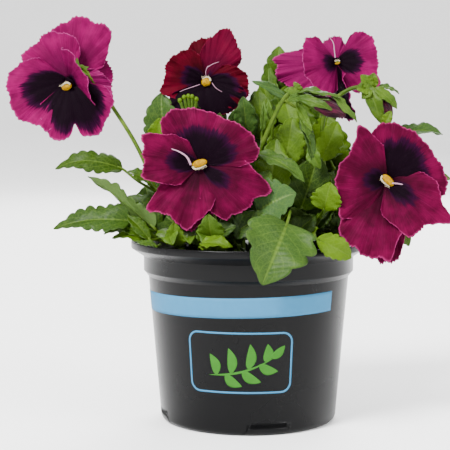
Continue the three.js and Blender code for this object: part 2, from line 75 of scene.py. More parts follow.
STEM_RADIUS = 1.6
STALK_RADIUS = 1.0
PETIOLE_RADIUS = 0.8
ROOT_Z = 70
LEAF_THICKNESS = 0.3
LEAF_TEETH = 6
TOOTH_DEPTH = 0.19
PETIOLE_GRIP = 0.07
CALYX_RADIUS = 1.9
CALYX_SET_BACK = 5.8
SEPALS = 5
HUB_RADIUS = 2.4
EYE_RADIUS = 1.6
GAP = 0.3
CLAW = 1.3
PETAL_THICKNESS = 0.26
PETAL_RUFFLE = 0.9
EYE_HALVES = (3.6, 1.8)
EYE_SUNK = 1.3
BEARD_HAIRS = 24
BUD_FOLDS = 3
BACK_LEAVES = 5
BACK_STEP = 13.5

STRIPE_LOW = 56.2
STRIPE_HIGH = 65.6
STRIPE_FROM = -118
STRIPE_TO = 54
STRIPE_SKEW = 0.9

PAINT_DEPTH = 0.5
PAINT_GLOSS = 0.04

FLOOR_REACH = 2000
FLOOR_SIDES = 96

# The view's place is in metres and its tilt in degrees. Its focus, width and shift are in pixels.
VIEW_PLACE = (0, -0.650, 0.1492)
VIEW_DOWN = 4.75
VIEW_FOCUS = 1328
VIEW_WIDTH = 450
VIEW_ASIDE = 23.5
SENSOR = 36


def lerp(low, high, share):
    """The value at a share of the way from low to high."""
    return low + (high - low) * share


def unit(vector):
    """The same direction at length 1."""
    vector = np.asarray(vector, float)
    return vector / np.linalg.norm(vector)


# ---------------------------------------------------------------- layout of the blooms


def leaf_of(joint, base, tip, face, width, **more):
    """A leaf: where it is joined, its blade from base to tip, the way it faces, its width."""
    return {"joint": joint, "base": base, "tip": tip, "face": face, "width": width, **more}


def sepal_of(base, tip, face, width, **more):
    """A leaf without a petiole, which starts where it is joined."""
    return leaf_of(base, base, tip, face, width, **more)


def calyx_behind(bloom):
    """The calyx that a bloom sits in, set back from its hub."""
    centre = np.add(bloom["hub"], -bloom.get("set_back", CALYX_SET_BACK) * unit(bloom["facing"]))
    return {"centre": centre, "toward": bloom["facing"], "reach": bloom.get("reach", 9)}


BLOOMS = {
    "bloom_left": {
        "tone": "rose", "hub": (-87, -4, 166), "facing": (-0.59, 0.46, -0.66),
        "eye": (-0.3, -0.7, -0.65), "eye_reach": 5.7, "set_back": 8, "reach": 6,
        "blotches": ((0, 1), (0, 1), (0, 1), (0.74, 1.7), (0, 1), (0.35, 1), (0.92, 2.4)),
        "petals": [
            {
                "tip": (-14, 3, 21), "width": 27, "face": (-0.2, -0.9, 0.2), "layer": -1.4,
                "corners": [(-1, 0.16, 0.4)],
            },
            {
                "tip": (7, 14, 32), "width": 30, "face": (0.1, -0.9, 0.35), "layer": -3,
                "corners": [(0.9, 0.08, 0.3)],
            },
            {"tip": (19, 12, 10), "width": 24, "face": (0.1, -0.9, 0.2), "layer": -4},
            {"tip": (-28, -5, -12), "width": 34, "face": (-0.3, -0.95, 0), "corners": [(-1.5, 0.12, 0.25)]},
            {"tip": (20, -5, -12), "width": 23, "face": (0.25, 0.9, 0.3), "layer": 1},
            {
                "tip": (11, -13, -3), "width": 40, "face": (-0.8, -0.35, -0.5), "layer": 0.4,
                "arch": -0.04,
            },
            {
                "tip": (8, -6, -27), "width": 36, "face": (0, -0.95, 0.15), "layer": 1.2,
                "corners": [(0.2, -0.2, 0.1), (-0.3, 0.06, 0.25), (0.75, 0.1, 0.3)],
            },
        ],
    },
    "bloom_front": {
        "tone": "magenta", "hub": (-22.3, -36, 125.8), "facing": (0, -1, 0.1), "shade": 0.16,
        "eye_lip": (-6, 0, 20), "blotches": ((0, 1), (0.1, 1), (0.6, 1.5), (0.56, 0.8), (0.68, 3)),
        "petals": [
            {"tip": (-6, -4, -29), "width": 22, "face": (-0.1, -1, 0.1), "layer": -2.6},
            {
                "tip": (-12, -7, -25), "width": 27, "face": (-0.1, -1, 0.15), "layer": -1.3,
                "corners": [(0.95, 0.24, 0.28), (-0.5, 0.08, 0.3)],
            },
            {
                "tip": (-26, -6, 5), "width": 23, "face": (-0.1, -1, 0.1),
                "corners": [(0.75, 0.24, 0.3), (-0.9, 0.12, 0.35)],
            },
            {
                "tip": (24, -4, -17), "width": 28, "face": (0.1, -1, 0.1), "layer": 0.2,
                "corners": [(-0.6, 0.24, 0.3), (1.1, 0.12, 0.3)],
            },
            {
                "tip": (8, 2, 23.5), "width": 46, "face": (0, -1, 0.2), "layer": 1.2, "spread": 2.3,
                "corners": [(-1, 0.07, 0.3), (1.5, 0.06, 0.4)],
            },
        ],
    },
    "bloom_top": {
        "tone": "crimson", "hub": (-21, 7, 166), "facing": (0, -1, -0.05), "eye_shape": (2.3, 2.1),
        "blotches": ((0.2, 1), (0.2, 1), (0.6, 1.4), (0.78, 1.6), (1.2, 3)),
        "petals": [
            {"tip": (0, 5, 22), "width": 20, "face": (0, -1, 0.1), "layer": -2.4},
            {
                "tip": (13, 4, 21), "width": 20, "face": (0.1, -1, 0.1), "layer": -1.2, "mauve": 0.45,
                "corners": [(-0.5, 0.2, 0.4)],
            },
            {"tip": (-20, -4, 5), "width": 25, "face": (-0.2, -1, 0), "corners": [(-0.9, 0.14, 0.3)]},
            {
                "tip": (21, -4, -6), "width": 21, "face": (0.2, -1, 0), "layer": 0.2,
                "corners": [(0.8, 0.12, 0.3)],
            },
            {"tip": (2, -5, -18), "width": 38, "face": (0, -1, 0.2), "layer": 1.2},
        ],
    },
    "bloom_right_top": {
        "tone": "rose", "hub": (43.5, 12, 175.5), "facing": (0, -1, -0.1), "eye_size": 0.35,
        "blotches": ((0, 1), (0, 1), (0.42, 1.5), (0.62, 1.4), (1.1, 2.6)),
        "petals": [
            {
                "tip": (-30, 7, -6), "width": 20, "face": (-0.1, -1, 0.1), "layer": -2.4, "mauve": 1,
                "corners": [(0.8, 0.16, 0.3)],
            },
            {"tip": (-2, 6, 13), "width": 12, "face": (0, -1, 0.1), "layer": -1.4, "mauve": 0.8},
            {"tip": (-16, -6, -5), "width": 31, "face": (-0.35, -0.9, 0), "corners": [(-1.3, 0.14, 0.3)]},
            {
                "tip": (20, -5, -1), "width": 30, "face": (0.3, -0.9, 0.1), "layer": 0.2,
                "corners": [(0.7, 0.24, 0.25)],
            },
            {"tip": (7.5, -4, -29), "width": 20, "face": (-0.9, -0.35, -0.1), "layer": 0.8},
        ],
    },
    "bloom_right": {
        "tone": "magenta", "hub": (64.5, -27, 118), "facing": (0, -1, 0.05), "shade": 0.1,
        "blotches": ((0, 1), (0, 1), (0.5, 1), (0.56, 1.1), (0.8, 2)),
        "petals": [
            {"tip": (0, -11, -37.5), "width": 18, "face": (0.1, -1, 0.1), "layer": -2.6},
            {
                "tip": (-12, -13, -33), "width": 28, "face": (-0.1, -1, 0.1), "layer": -1.3,
                "corners": [(-0.9, 0.2, 0.25), (1.2, 0.1, 0.3)],
            },
            {
                "tip": (-24, -8, 5), "width": 38, "face": (-0.2, -1, 0), "layer": 2.4,
                "corners": [(1.35, 0.26, 0.26), (-1.2, 0.12, 0.3)],
            },
            {
                "tip": (21, -9, -19), "width": 29, "face": (0.1, -1, 0.2), "layer": 2.6,
                "corners": [(-0.35, 0.22, 0.26), (0.9, 0.1, 0.3)],
            },
            {
                "tip": (18, 1, 18), "width": 43, "face": (0.1, -1, 0.1), "layer": 3, "spread": 2.3,
                "corners": [(1.5, 0.1, 0.35), (-0.9, 0.05, 0.3)],
            },
        ],
    },
}

BUDS = {
    "bud_left": {
        "centre": (25, -28, 158), "toward": (20.5, -5, -9.5), "reach": 13, "splay": 0.55,
        "petal_length": 20.5, "petal_width": 8.6,
    },
    "bud_right": {
        "centre": (56.5, -10, 162.5), "toward": (10, -3, -12), "reach": 12, "splay": 0.55,
        "petal_length": 17, "petal_width": 8,
    },
}

FRONT_STEMS = {
    "leafy_stem_left": {
        "root": (-22, -6), "stem": [(-24, -7, 90), (-32, -9, 102), (-44, -11, 113)],
        "bears": calyx_behind(BLOOMS["bloom_left"]),
        "stalk": [
            (-44, -11, 112), (-54, -8, 134), (-66, -5, 153), (-74, -5, 164), (-79, -7, 171),
            (-81, -8, 172.5),
        ],
        "leaves": [
            leaf_of(
                (-44, -11, 112), (-61, -8, 123), (-94, -5, 123), (0.1, -0.8, 0.6), 13, arch=0.2,
                tone=(0.5, 0.05), teeth=7, tooth_depth=0.3, swell=0.6, fold=0.1,
            ),
            leaf_of((-42, -11, 111), (-48, -17, 117), (-58, -15, 122), (0, -0.5, 0.85), 8, tone=(0.6, 0.2)),
        ],
    },
    "leafy_stem_left_low": {
        "root": (-30, -20), "stem": [(-33, -21, 88), (-41, -23, 94)],
        "leaves": [
            leaf_of(
                (-40, -23, 93), (-56, -24, 99), (-93, -20, 95), (0.1, -0.75, 0.65), 17, tone=(0.45, 0.25),
                teeth=8, tooth_depth=0.3, swell=0.45,
            ),
            leaf_of(
                (-40, -23, 93), (-44, -29, 96), (-76, -22, 120), (0.5, 0.6, 0.6), 15, arch=0.02,
                tone=(0.6, 0.6), teeth=8, tooth_depth=0.36, swell=0.62,
            ),
            leaf_of((-38, -22, 92), (-46, -33, 91), (-57, -29, 102), (0, -0.8, 0.6), 7, tone=(0.55, 0.05)),
            leaf_of(
                (-38, -22, 92), (-50, -22, 94), (-69, -20, 92.5), (-0.1, -0.6, 0.8), 8, tone=(0.7, 0.0),
                swell=0.5,
            ),
            leaf_of((-36, -22, 90), (-44, -28, 90.5), (-52, -24, 91), (0, -0.4, 0.9), 5),
        ],
    },
    "leafy_stem_front_left": {
        "root": (-12, -26), "stem": [(-14, -27, 88), (-17, -26, 96)],
        "bears": calyx_behind(BLOOMS["bloom_front"]),
        "stalk": [(-17, -26, 95), (-15, -19, 110), (-17, -18, 122), (-21, -22, 129)],
        "leaves": [
            leaf_of(
                (-16, -26, 92), (-38, -30, 96), (-35, -43, 89.5), (-0.1, -0.9, 0.5), 12, tone=(0.75, 0.15),
            ),
            leaf_of((-16, -26, 91), (-28, -34, 94), (-27, -43, 90), (0.1, -0.9, 0.4), 7),
            leaf_of((-16, -26, 93), (-17, -31, 95), (-19, -46, 88.5), (0, -0.95, 0.4), 14, tone=(0.7, 0.3)),
            leaf_of((-15, -27, 90), (-22, -45, 90), (-8, -50, 89), (0, -0.5, 0.85), 10, tone=(0.9, 0.05)),
        ],
    },
    "leafy_stem_front_right": {
        "root": (12, -26), "stem": [(13, -26, 90), (14, -27, 99)],
        "leaves": [
            leaf_of(
                (14, -27, 98), (4, -32, 104), (22, -37, 113), (0.05, -0.85, 0.5), 24, tone=(0.45, 1),
                tooth_depth=0.3,
            ),
            leaf_of((14, -27, 99), (5, -30, 113), (10, -29, 123), (0, -0.8, 0.6), 10),
            leaf_of((14, -27, 97), (7, -33, 103), (11, -45, 96), (0, -0.9, 0.4), 15, tone=(0.3, 0.3)),
            leaf_of((13, -26, 92), (3, -28, 100), (-6, -38, 92), (0, -0.9, 0.4), 15, tone=(0.2, 0.3)),
            leaf_of(
                (14, -27, 98), (17.5, -49, 100), (6, -65, 74), (0.15, -0.9, 0.4), 34, via=(19, -39, 105),
                arch=0.14, teeth=4, tooth_depth=0.24, wave=0.07, tone=(0.6, 0.45), swell=0.66,
            ),
        ],
    },
    "leafy_stem_right_front": {
        "root": (27, -14), "stem": [(30, -16, 92), (34, -20, 102)],
        "bears": calyx_behind(BLOOMS["bloom_right"]),
        "stalk": [(34, -20, 101), (47, -13, 112), (58, -11, 122), (63, -14, 124)],
        "leaves": [
            leaf_of((33, -19, 100), (35, -32, 105), (38, -36, 118), (0, -0.95, 0.3), 15, tone=(0.85, 0.05)),
            leaf_of((31, -17, 95), (31, -50, 93), (47, -46, 84), (0.1, -0.95, 0.3), 12, tone=(1.0, 0.0)),
        ],
    },
    "leafy_stem_centre": {
        "root": (6, -8), "stem": [(7, -9, 100), (8, -12, 120)],
        "bears": BUDS["bud_left"],
        "stalk": [(8, -12, 119), (6, -19, 132), (12, -22, 148), (17, -24, 157), (21, -26, 160)],
        "leaves": [
            leaf_of((8, -11, 112), (17, -14, 124), (21, -10, 148), (0.1, -0.9, 0.2), 16, tone=(0.8, 0.1)),
            leaf_of((8, -11, 116), (21, -4, 143), (17, 2, 157), (0.1, -0.9, 0.2), 14, tone=(0.8, 0.1)),
            leaf_of((8, -11, 110), (35, -10, 127), (43, -6, 146), (0.1, -0.9, 0.2), 13, tone=(0.9, 0.05)),
            leaf_of((8, -12, 118), (4, -26, 131), (26, -34, 118), (0.2, -0.6, 0.75), 10, tone=(0.6, 0.35)),
            leaf_of((17, -24, 156), (24, -22, 152), (30, -27, 127), (0.3, -0.9, 0.2), 6),
            leaf_of((7, -9, 100), (25, -15, 104), (33, -17, 130), (0.1, -0.95, 0.1), 22, tone=(0.45, 0.15)),
            leaf_of((7, -9, 104), (9, -20, 108), (13, -18, 138), (0.1, -0.95, 0.2), 19, tone=(0.75, 0.1)),
        ],
    },
    "leafy_stem_right": {
        "root": (28, 6), "stem": [(32, 5, 95), (39, 4, 112), (46, 3, 124)],
        "bears": BUDS["bud_right"],
        "stalk": [(39, 4, 112), (36, -5, 130), (36, -6, 146), (40, -7, 155), (49, -9, 161.5)],
        "leaves": [
            leaf_of((46, 3, 124), (72, 0, 140), (95, 3, 139.5), (0, -0.6, 0.8), 10, tone=(0.5, 0.5)),
            leaf_of((46, 3, 123), (84, 8, 116), (100, 6, 117.5), (0, -0.7, 0.7), 8),
            leaf_of((40, 4, 114), (74, -3, 101), (75, -7, 88), (0.1, -0.95, 0.1), 9),
        ],
    },
    "leafy_stem_up_left": {
        "root": (-10, 4), "stem": [(-13, 5, 100), (-18, 6, 120), (-22, 7, 134)],
        "bears": calyx_behind(BLOOMS["bloom_top"]),
        "stalk": [(-22, 7, 133), (-23, 17, 148), (-22, 20, 160), (-21.5, 17, 168)],
        "leaves": [
            leaf_of((-18, 6, 119), (-41, 4, 131), (-43, 6, 160), (-0.1, -0.95, 0.2), 19, tone=(0.55, 0.5)),
            leaf_of((-15, 5, 110), (2, 4, 139), (-3, 6, 157), (0.2, -0.95, 0.2), 9),
            leaf_of((-19, 6, 124), (-14, 10, 139), (-14, 12, 153), (0, -0.95, 0.2), 8),
            leaf_of((-20, 6, 127), (-24, -2, 147), (-28, -3, 157), (0, -0.95, 0.1), 5),
        ],
    },
    "leafy_stem_up_right": {
        "root": (10, 12), "stem": [(11, 14, 105), (13, 16, 130), (14, 19, 145)],
        "bears": calyx_behind(BLOOMS["bloom_right_top"]),
        "stalk": [(14, 19, 144), (26, 27, 160), (38, 28, 173), (43, 23, 179)],
        "leaves": [
            leaf_of((14, 19, 143), (13, 27, 157), (15.5, 31, 184), (0, -0.95, -0.1), 15, tone=(0.75, 0.3)),
            leaf_of((13, 16, 130), (10, 20, 150), (10, 26, 174), (0, -0.95, 0.1), 10, tone=(0.7, 0.3)),
            leaf_of((12, 15, 120), (7, 10, 140), (3, 14, 161), (0.1, -0.95, 0.1), 13, tone=(0.55, 0.4)),
        ],
    },
}


# Leaves fan out round a heading behind the crown, low ones long and spreading, high ones upright.
def back_stem(root, heading):
    """A short stem whose leaves fan out round a heading."""
    leaves = []
    for i in range(BACK_LEAVES):
        lift = ((2 * i) % BACK_LEAVES) / (BACK_LEAVES - 1)
        angle = math.radians(heading + (i - (BACK_LEAVES - 1) / 2) * BACK_STEP)

        def away(distance, height):
            return (distance * math.sin(angle), distance * math.cos(angle), height)

        base = away(lerp(42, 24, lift), lerp(95, 122, lift))
        tip = away(lerp(74, 40, lift), lerp(92, 142, lift))
        joint = (*root, lerp(82, 104, lift))
        leaves.append(leaf_of(joint, base, tip, away(0.75, 0.65), lerp(25, 18, lift), arch=0.14, turn=i))
    return {"root": root, "stem": [(*root, 95), (*root, 106)], "leaves": leaves}


STEMS = {
    **FRONT_STEMS,
    "leafy_stem_back_left": back_stem((-24, 16), -63),
    "leafy_stem_back": back_stem((-3, 28), -4),
    "leafy_stem_back_right": back_stem((20, 21), 53),
}

# Leaves inside the crown, between the stems. tone is (brightness, greyness), and the brightness is painted
# light and shade, darker for leaves deep in the crown.
INNER_LEAVES = [
    leaf_of((15.6, 6, 112), (17.5, 4, 121), (15.4, 2, 144.6), (0.15, -0.95, 0.2), 21, tone=(0.7, 0.05)),
    leaf_of((21.6, 12, 131.7), (23.6, 12, 138.6), (26.1, 14, 155), (0.2, -0.9, 0.3), 18, tone=(0.65, 0.1)),
    leaf_of((36.8, 14, 111.7), (37, 14, 122), (39.5, 13.0, 149.0), (-0.1, -0.95, 0.2), 27, tone=(0.8, 0)),
    leaf_of((4.7, 8, 126.8), (6.7, 10, 136.7), (4.7, 12, 161.4), (0.1, -0.95, 0.2), 15, tone=(0.7, 0.1)),
    leaf_of((-0.3, 6, 131.7), (-1.3, 1, 139.6), (-2.8, -5, 157.9), (0.1, -0.95, 0.2), 12, tone=(0.5, 0.5)),
    leaf_of((13.2, 16, 136.6), (10.7, 18, 147.5), (6.7, 20, 165.5), (0.2, -0.9, 0.3), 13, tone=(0.8, 0.2)),
    leaf_of(
        (17.8, -6, 95.7), (21, -10, 101.4), (27.8, -8, 122.6), (0.1, -0.95, 0.2), 19, tone=(0.45, 0.15),
    ),
    leaf_of((25.4, 2, 90.1), (34.2, 2, 96.6), (48.1, 6, 123), (-0.1, -0.95, 0.2), 22, tone=(0.55, 0.1)),
    leaf_of((6.6, -6, 90.8), (4.6, -8, 97.3), (3.6, -8, 122.5), (0.1, -0.95, 0.2), 18, tone=(0.3, 0.3)),
    leaf_of((25, -8, 89.6), (29.7, -12, 95.8), (41, -14, 105.6), (0.1, -0.8, 0.55), 13, tone=(0.5, 0.1)),
    leaf_of(
        (30.7, 16, 141.6), (29.7, 16, 150.5), (34.6, 16, 160.5), (0.1, -0.9, 0.4), 11, tone=(0.75, 0.1),
    ),
    leaf_of((-10.2, 6, 131.8), (-8.2, 1, 140.7), (-6, -5, 152), (0.1, -0.95, 0.2), 9, tone=(0.45, 0.5)),
    leaf_of((-16.1, 6, 136.7), (-15.1, 1, 140), (-14, -5, 150), (0, -0.95, 0.2), 8, tone=(0.4, 0.5)),
    leaf_of((-49, 10, 131.7), (-45.5, 2, 133.8), (-43.3, -1, 147.6), (0, -0.95, 0.2), 10, tone=(1, 0)),
    leaf_of((-20.4, -30, 85.9), (-16.9, -36, 91.2), (-5.7, -40, 98), (0, -0.8, 0.6), 10, tone=(0.25, 0.2)),
    leaf_of((-37.4, -20, 89.6), (-46.5, -26, 91.1), (-61.8, -24, 96.6), (0, -0.7, 0.7), 9, tone=(0.6, 0.1)),
    leaf_of(
        (-38, -10, 91.1), (-49.3, -14, 97.7), (-62.9, -12, 105.3), (0.1, -0.8, 0.6), 12, tone=(0.55, 0.1),
    ),
    leaf_of((24.6, -18, 89.5), (27.3, -22, 91.8), (32.8, -26, 96), (0, -0.8, 0.6), 7, tone=(0.9, 0.1)),
    leaf_of(
        (-40.1, -15, 89.1), (-46.9, -20, 91.5), (-67.1, -18, 104.7), (0.2, -0.8, 0.5), 17, tone=(0.5, 0.2),
    ),
    leaf_of(
        (-38, -10, 88.7), (-42.7, -12, 94.7), (-58.4, -8, 109.9), (0.3, -0.9, 0.3), 15, tone=(0.35, 0.2),
    ),
    leaf_of(
        (-34.9, -22, 88.9), (-42.6, -28, 90.4), (-64.5, -26, 91.1), (0, -0.6, 0.8), 9, tone=(0.7, 0.05),
    ),
    leaf_of(
        (-30, -25, 87.7), (-33.8, -34, 88.1), (-34.3, -40, 99.9), (0, -0.95, 0.2), 10, tone=(0.75, 0.1),
    ),
    leaf_of(
        (-20.5, -25, 87.8), (-16.9, -36, 89.8), (-18.6, -42, 103.7), (0, -0.95, 0.2), 14, tone=(0.7, 0.25),
    ),
    leaf_of((-22.7, -30, 86.8), (-22.3, -42, 88.5), (-7.1, -44, 88.7), (0, -0.7, 0.7), 8, tone=(0.9, 0.05)),
    leaf_of((-6.3, -25, 87.8), (-7.6, -34, 92.9), (9.1, -36, 103.3), (0, -0.85, 0.5), 13, tone=(0.2, 0.25)),
    leaf_of((-4, -20, 86.8), (-5.8, -28, 88.5), (-7.7, -30, 99.1), (0, -0.95, 0.2), 10, tone=(0.4, 0.1)),
    leaf_of((-41.5, -30, 88.2), (-42.7, -40, 88.7), (-51.3, -42, 90.3), (0, -0.7, 0.7), 4, tone=(0.6, 0.2)),
    leaf_of(
        (-27.8, -20, 86.8), (-27.6, -26, 90.2), (-28.5, -26, 101.6), (0, -0.95, 0.2), 12, tone=(0.3, 0.2),
    ),
    leaf_of(
        (-43.1, -5, 90.7), (-48, -5, 100.4), (-50.1, -2, 114.4), (0.1, -0.95, 0.2), 14, tone=(0.4, 0.2),
    ),
    leaf_of((17.4, -20, 87.3), (19.7, -24, 90.1), (32, -22, 101.4), (0, -0.85, 0.5), 13, tone=(0.3, 0.15)),
    leaf_of((25, -10, 86.4), (27.3, -12, 91.4), (39.7, -4, 112.7), (0, -0.95, 0.3), 17, tone=(0.35, 0.2)),
    leaf_of((39.8, -5, 85.9), (43.6, -5, 90.3), (47.2, -2, 100.3), (0, -0.95, 0.3), 14, tone=(0.5, 0.2)),
    leaf_of(
        (-21.1, -8.0, 86.1), (-31.2, -10.0, 92.6), (-42.9, -8.0, 102.1), (0, -0.9, 0.4), 20,
        tone=(0.3, 0.2),
    ),
    leaf_of(
        (-23.8, 0.0, 87.8), (-30.8, 2.0, 96.5), (-39.7, 4.0, 108.2), (0.1, -0.95, 0.2), 18, tone=(0.4, 0.2),
    ),
    leaf_of(
        (-11.4, -4.0, 85.7), (-9.0, -6.0, 95.2), (-5.1, -6.0, 109.8), (0, -0.95, 0.3), 18, tone=(0.3, 0.3),
    ),
    leaf_of((-4.2, 4.0, 87.4), (3.8, 6.0, 96.2), (13.7, 8.0, 109.0), (0, -0.95, 0.3), 18, tone=(0.3, 0.2)),
    leaf_of((0.8, 2.0, 86.6), (14.5, 0.0, 91.8), (25.3, 0.0, 104.6), (0, -0.9, 0.4), 18, tone=(0.35, 0.2)),
    leaf_of(
        (23.1, -26.0, 152.8), (24.1, -26.0, 147.6), (29.8, -26.0, 132.7), (0.6, -0.8, 0.2), 5,
        tone=(0.85, 0.5),
    ),
    leaf_of(
        (26.9, -26.0, 137.4), (28.8, -26.0, 134.6), (33.6, -26.0, 123.8), (-0.4, -0.9, 0.2), 7,
        tone=(0.85, 0.5),
    ),
    leaf_of(
        (9.9, 22.0, 103.6), (6.9, 24.0, 113.1), (2.8, 26.0, 145.5), (0, -0.95, 0.2), 24, tone=(0.3, 0.2),
    ),
    leaf_of(
        (16.0, 24.0, 103.4), (18.1, 26.0, 116.0), (11.9, 28.0, 154.6), (0, -0.95, 0.2), 28,
        tone=(0.3, 0.15),
    ),
    leaf_of(
        (22.1, 24.0, 103.4), (27.2, 26.0, 113.0), (28.2, 28.0, 148.5), (0.1, -0.95, 0.2), 28,
        tone=(0.25, 0.15),
    ),
    leaf_of(
        (28.7, 22.0, 101.0), (37.3, 24.0, 110.1), (45.2, 24.0, 142.5), (-0.1, -0.95, 0.2), 26,
        tone=(0.3, 0.1),
    ),
    leaf_of(
        (15.7, 10.0, 94.4), (25.7, 10.0, 100.9), (34.6, 12.0, 120.7), (0, -0.95, 0.2), 26, tone=(0.25, 0.2),
    ),
    leaf_of(
        (18.3, 18.0, 131.5), (18.8, 19.0, 142.5), (21.2, 20.0, 164.5), (0, -0.95, 0.2), 20,
        tone=(0.6, 0.15),
    ),
    leaf_of(
        (11.8, 20.0, 131.5), (10.8, 21.0, 145.5), (7.7, 22.0, 164.6), (0, -0.95, 0.2), 18, tone=(0.7, 0.15),
    ),
    leaf_of(
        (21.1, 0.0, 153.4), (18.2, -1.0, 157.3), (1.6, -3.0, 165.4), (0, -0.9, 0.4), 5, tone=(0.5, 0.9),
    ),
    leaf_of(
        (6.5, -9.0, 132.2), (6.5, -10.0, 140.9), (7.4, -11.0, 155.7), (0.2, -0.95, 0.1), 3.4,
        tone=(0.85, 0.6),
    ),
    leaf_of(
        (11.3, -9.0, 137.0), (11.3, -10.0, 145.7), (9.3, -11.0, 156.7), (-0.2, -0.95, 0.1), 3.2,
        tone=(0.9, 0.6),
    ),
    leaf_of(
        (42.5, 4.0, 122.1), (39.9, 2.0, 127.1), (42.6, 0.0, 139.8), (-0.3, -0.9, 0.3), 9, tone=(0.6, 0.4),
    ),
    leaf_of(
        (-36.9, -12.0, 90.8), (-39.9, -10.0, 94.5), (-48.8, -8.0, 97.3), (0, -0.9, 0.4), 13,
        tone=(0.3, 0.2),
    ),
    leaf_of(
        (-21.2, -4.0, 87.2), (-18.8, -4.0, 93.1), (-12.9, -6.0, 105.9), (0, -0.95, 0.3), 17,
        tone=(0.35, 0.2),
    ),
    leaf_of(
        (-34.8, 4.0, 94.8), (-38.8, 4.0, 102.2), (-48.7, 6.0, 119.0), (0.2, -0.95, 0.2), 16,
        tone=(0.35, 0.2),
    ),
    leaf_of(
        (33.2, 15.0, 124.1), (33.7, 16.0, 135.6), (36.6, 16.0, 155.5), (0, -0.95, 0.2), 20,
        tone=(0.55, 0.1),
    ),
    leaf_of(
        (33.2, 0.0, 85.9), (35.0, -2.0, 88.0), (41.2, -4.0, 100.0), (0, -0.95, 0.2), 16, tone=(0.3, 0.2),
    ),
    leaf_of(
        (68.1, -2.0, 105.3), (71.4, -8.0, 97.4), (77.6, -10.0, 86.0), (0, -0.95, 0.2), 8, tone=(0.7, 0.3),
    ),
]
TUFT_ROOT = (-27.4, -5, 144)
TUFT_TIPS = [(-33, -8, 156), (-31, -8.5, 157.5), (-29, -8.5, 158), (-27.2, -8.5, 157.8), (-25.2, -8, 156.6)]

# Sepals and their small back lobes round each bud, where they curl away from it.
BUD_SEPALS = {
    "bud_left": [
        sepal_of((22.5, -29.0, 159.2), (42.6, -34.0, 156.4), (0, -0.5, 0.85), 4, arch=0.1, tone=(0.7, 0.5)),
        sepal_of(
            (22.4, -31.0, 156.9), (38.4, -36.0, 151.3), (0.1, -0.9, 0.45), 5.2, arch=0.08,
            tone=(0.65, 0.35),
        ),
        sepal_of(
            (38.1, -32.0, 158.3), (50.2, -32.0, 145.8), (0.6, -0.8, 0.3), 4.6, arch=0.05, tone=(0.75, 0.5),
        ),
        sepal_of(
            (22.4, -31.0, 155.0), (29.4, -33.0, 141.7), (0.1, -1, 0.1), 4, arch=-0.08, tone=(0.8, 0.4),
        ),
        sepal_of((23.9, -29.0, 157.8), (16.4, -31.0, 160.6), (0, -0.8, 0.6), 5, arch=0.1, tone=(0.8, 0.4)),
        sepal_of(
            (24.0, -27.0, 158.3), (21.1, -29.0, 164.3), (0, -0.9, 0.4), 4.4, arch=0.1, tone=(0.8, 0.4),
        ),
        sepal_of(
            (23.8, -31.0, 157.4), (18.2, -33.0, 155.5), (0, -0.9, 0.4), 4.4, arch=0.1, tone=(0.7, 0.4),
        ),
    ],
    "bud_right": [
        sepal_of(
            (56.9, -13.0, 163.3), (63.3, -17.0, 144.8), (-0.1, -1, 0.1), 7.6, arch=0.05, tone=(0.65, 0.1),
        ),
        sepal_of(
            (59.7, -13.0, 161.9), (70.5, -15.0, 151.9), (0.2, -0.85, 0.5), 6, arch=0.12, tone=(0.75, 0.3),
        ),
        sepal_of(
            (60.5, -10.0, 161.4), (72.0, -10.0, 159.1), (0.1, -0.6, 0.8), 3.6, arch=0.2, tone=(0.6, 0.5),
        ),
        sepal_of((58.3, -13.0, 160.9), (51.1, -14.0, 161.8), (0, -0.9, 0.4), 7, arch=0.1, tone=(0.75, 0.1)),
        sepal_of(
            (58.4, -12.0, 161.4), (53.5, -13.0, 168.0), (0, -0.9, 0.4), 6.5, arch=0.1, tone=(0.85, 0.1),
        ),
        sepal_of((58.5, -11.0, 161.9), (59.7, -12.0, 169.0), (0, -0.9, 0.4), 6, arch=0.1, tone=(0.85, 0.1)),
        sepal_of((58.2, -14.0, 160.9), (53.9, -15.0, 156.6), (0, -0.9, 0.4), 5, arch=0.1, tone=(0.7, 0.1)),
        sepal_of((64.1, -18.0, 144.3), (67.4, -18.0, 150.9), (0, -1, 0.2), 5, arch=0.1, tone=(1.0, 0)),
    ],
}

# Pale folds where a petal's edge curls over: radius at the start, how much it grows, and points along each.
FOLDS = {
    "bloom_front": [(0.16, 3.2, [
        (-38.3, -40.0, 134.6), (-35.1, -40.6, 133.5), (-31.4, -41.0, 132.1), (-28.2, -41.0, 129.8),
        (-26.4, -40.5, 126.2),
    ])],
    "bloom_right": [
        (0.4, 0.4, [(66.4, -31, 117.4), (69.7, -31.6, 117.2), (73, -31.8, 116.3), (75.8, -31.4, 114.6)]),
    ],
    "bloom_top": [
        (0.1, 1.6, [(-33.6, 1.5, 160.3), (-31.7, 1.2, 161.2), (-27.8, 1.2, 162.5), (-23.8, 1.6, 163.9)]),
        (0.16, 0.6, [(-17.9, 1.6, 164.7), (-16, 1.4, 162.2), (-13, 1.4, 160.3)]),
        (0.16, 0.6, [(-19.9, 2.4, 172.9), (-20.9, 2.2, 170.5), (-20.9, 2, 168.1)]),
        (0.16, 0.6, [(-19.9, 2.4, 172.4), (-17.4, 2.8, 173.9), (-14.5, 3, 174.9)]),
    ],
    "bloom_right_top": [
        (0.14, 1.9, [(39.5, 8, 187.2), (41.4, 7.6, 184.6), (42, 7.4, 180.9), (42.5, 7.6, 177)]),
    ],
}

# How far a dark blotch reaches along each petal, and how wide it is: two upper, two side ones, the lip.
BLOTCHES = ((0, 1), (0, 1), (0.45, 1.1), (0.5, 1.1), (0.74, 1.9))

# ---------------------------------------------------------------- forms


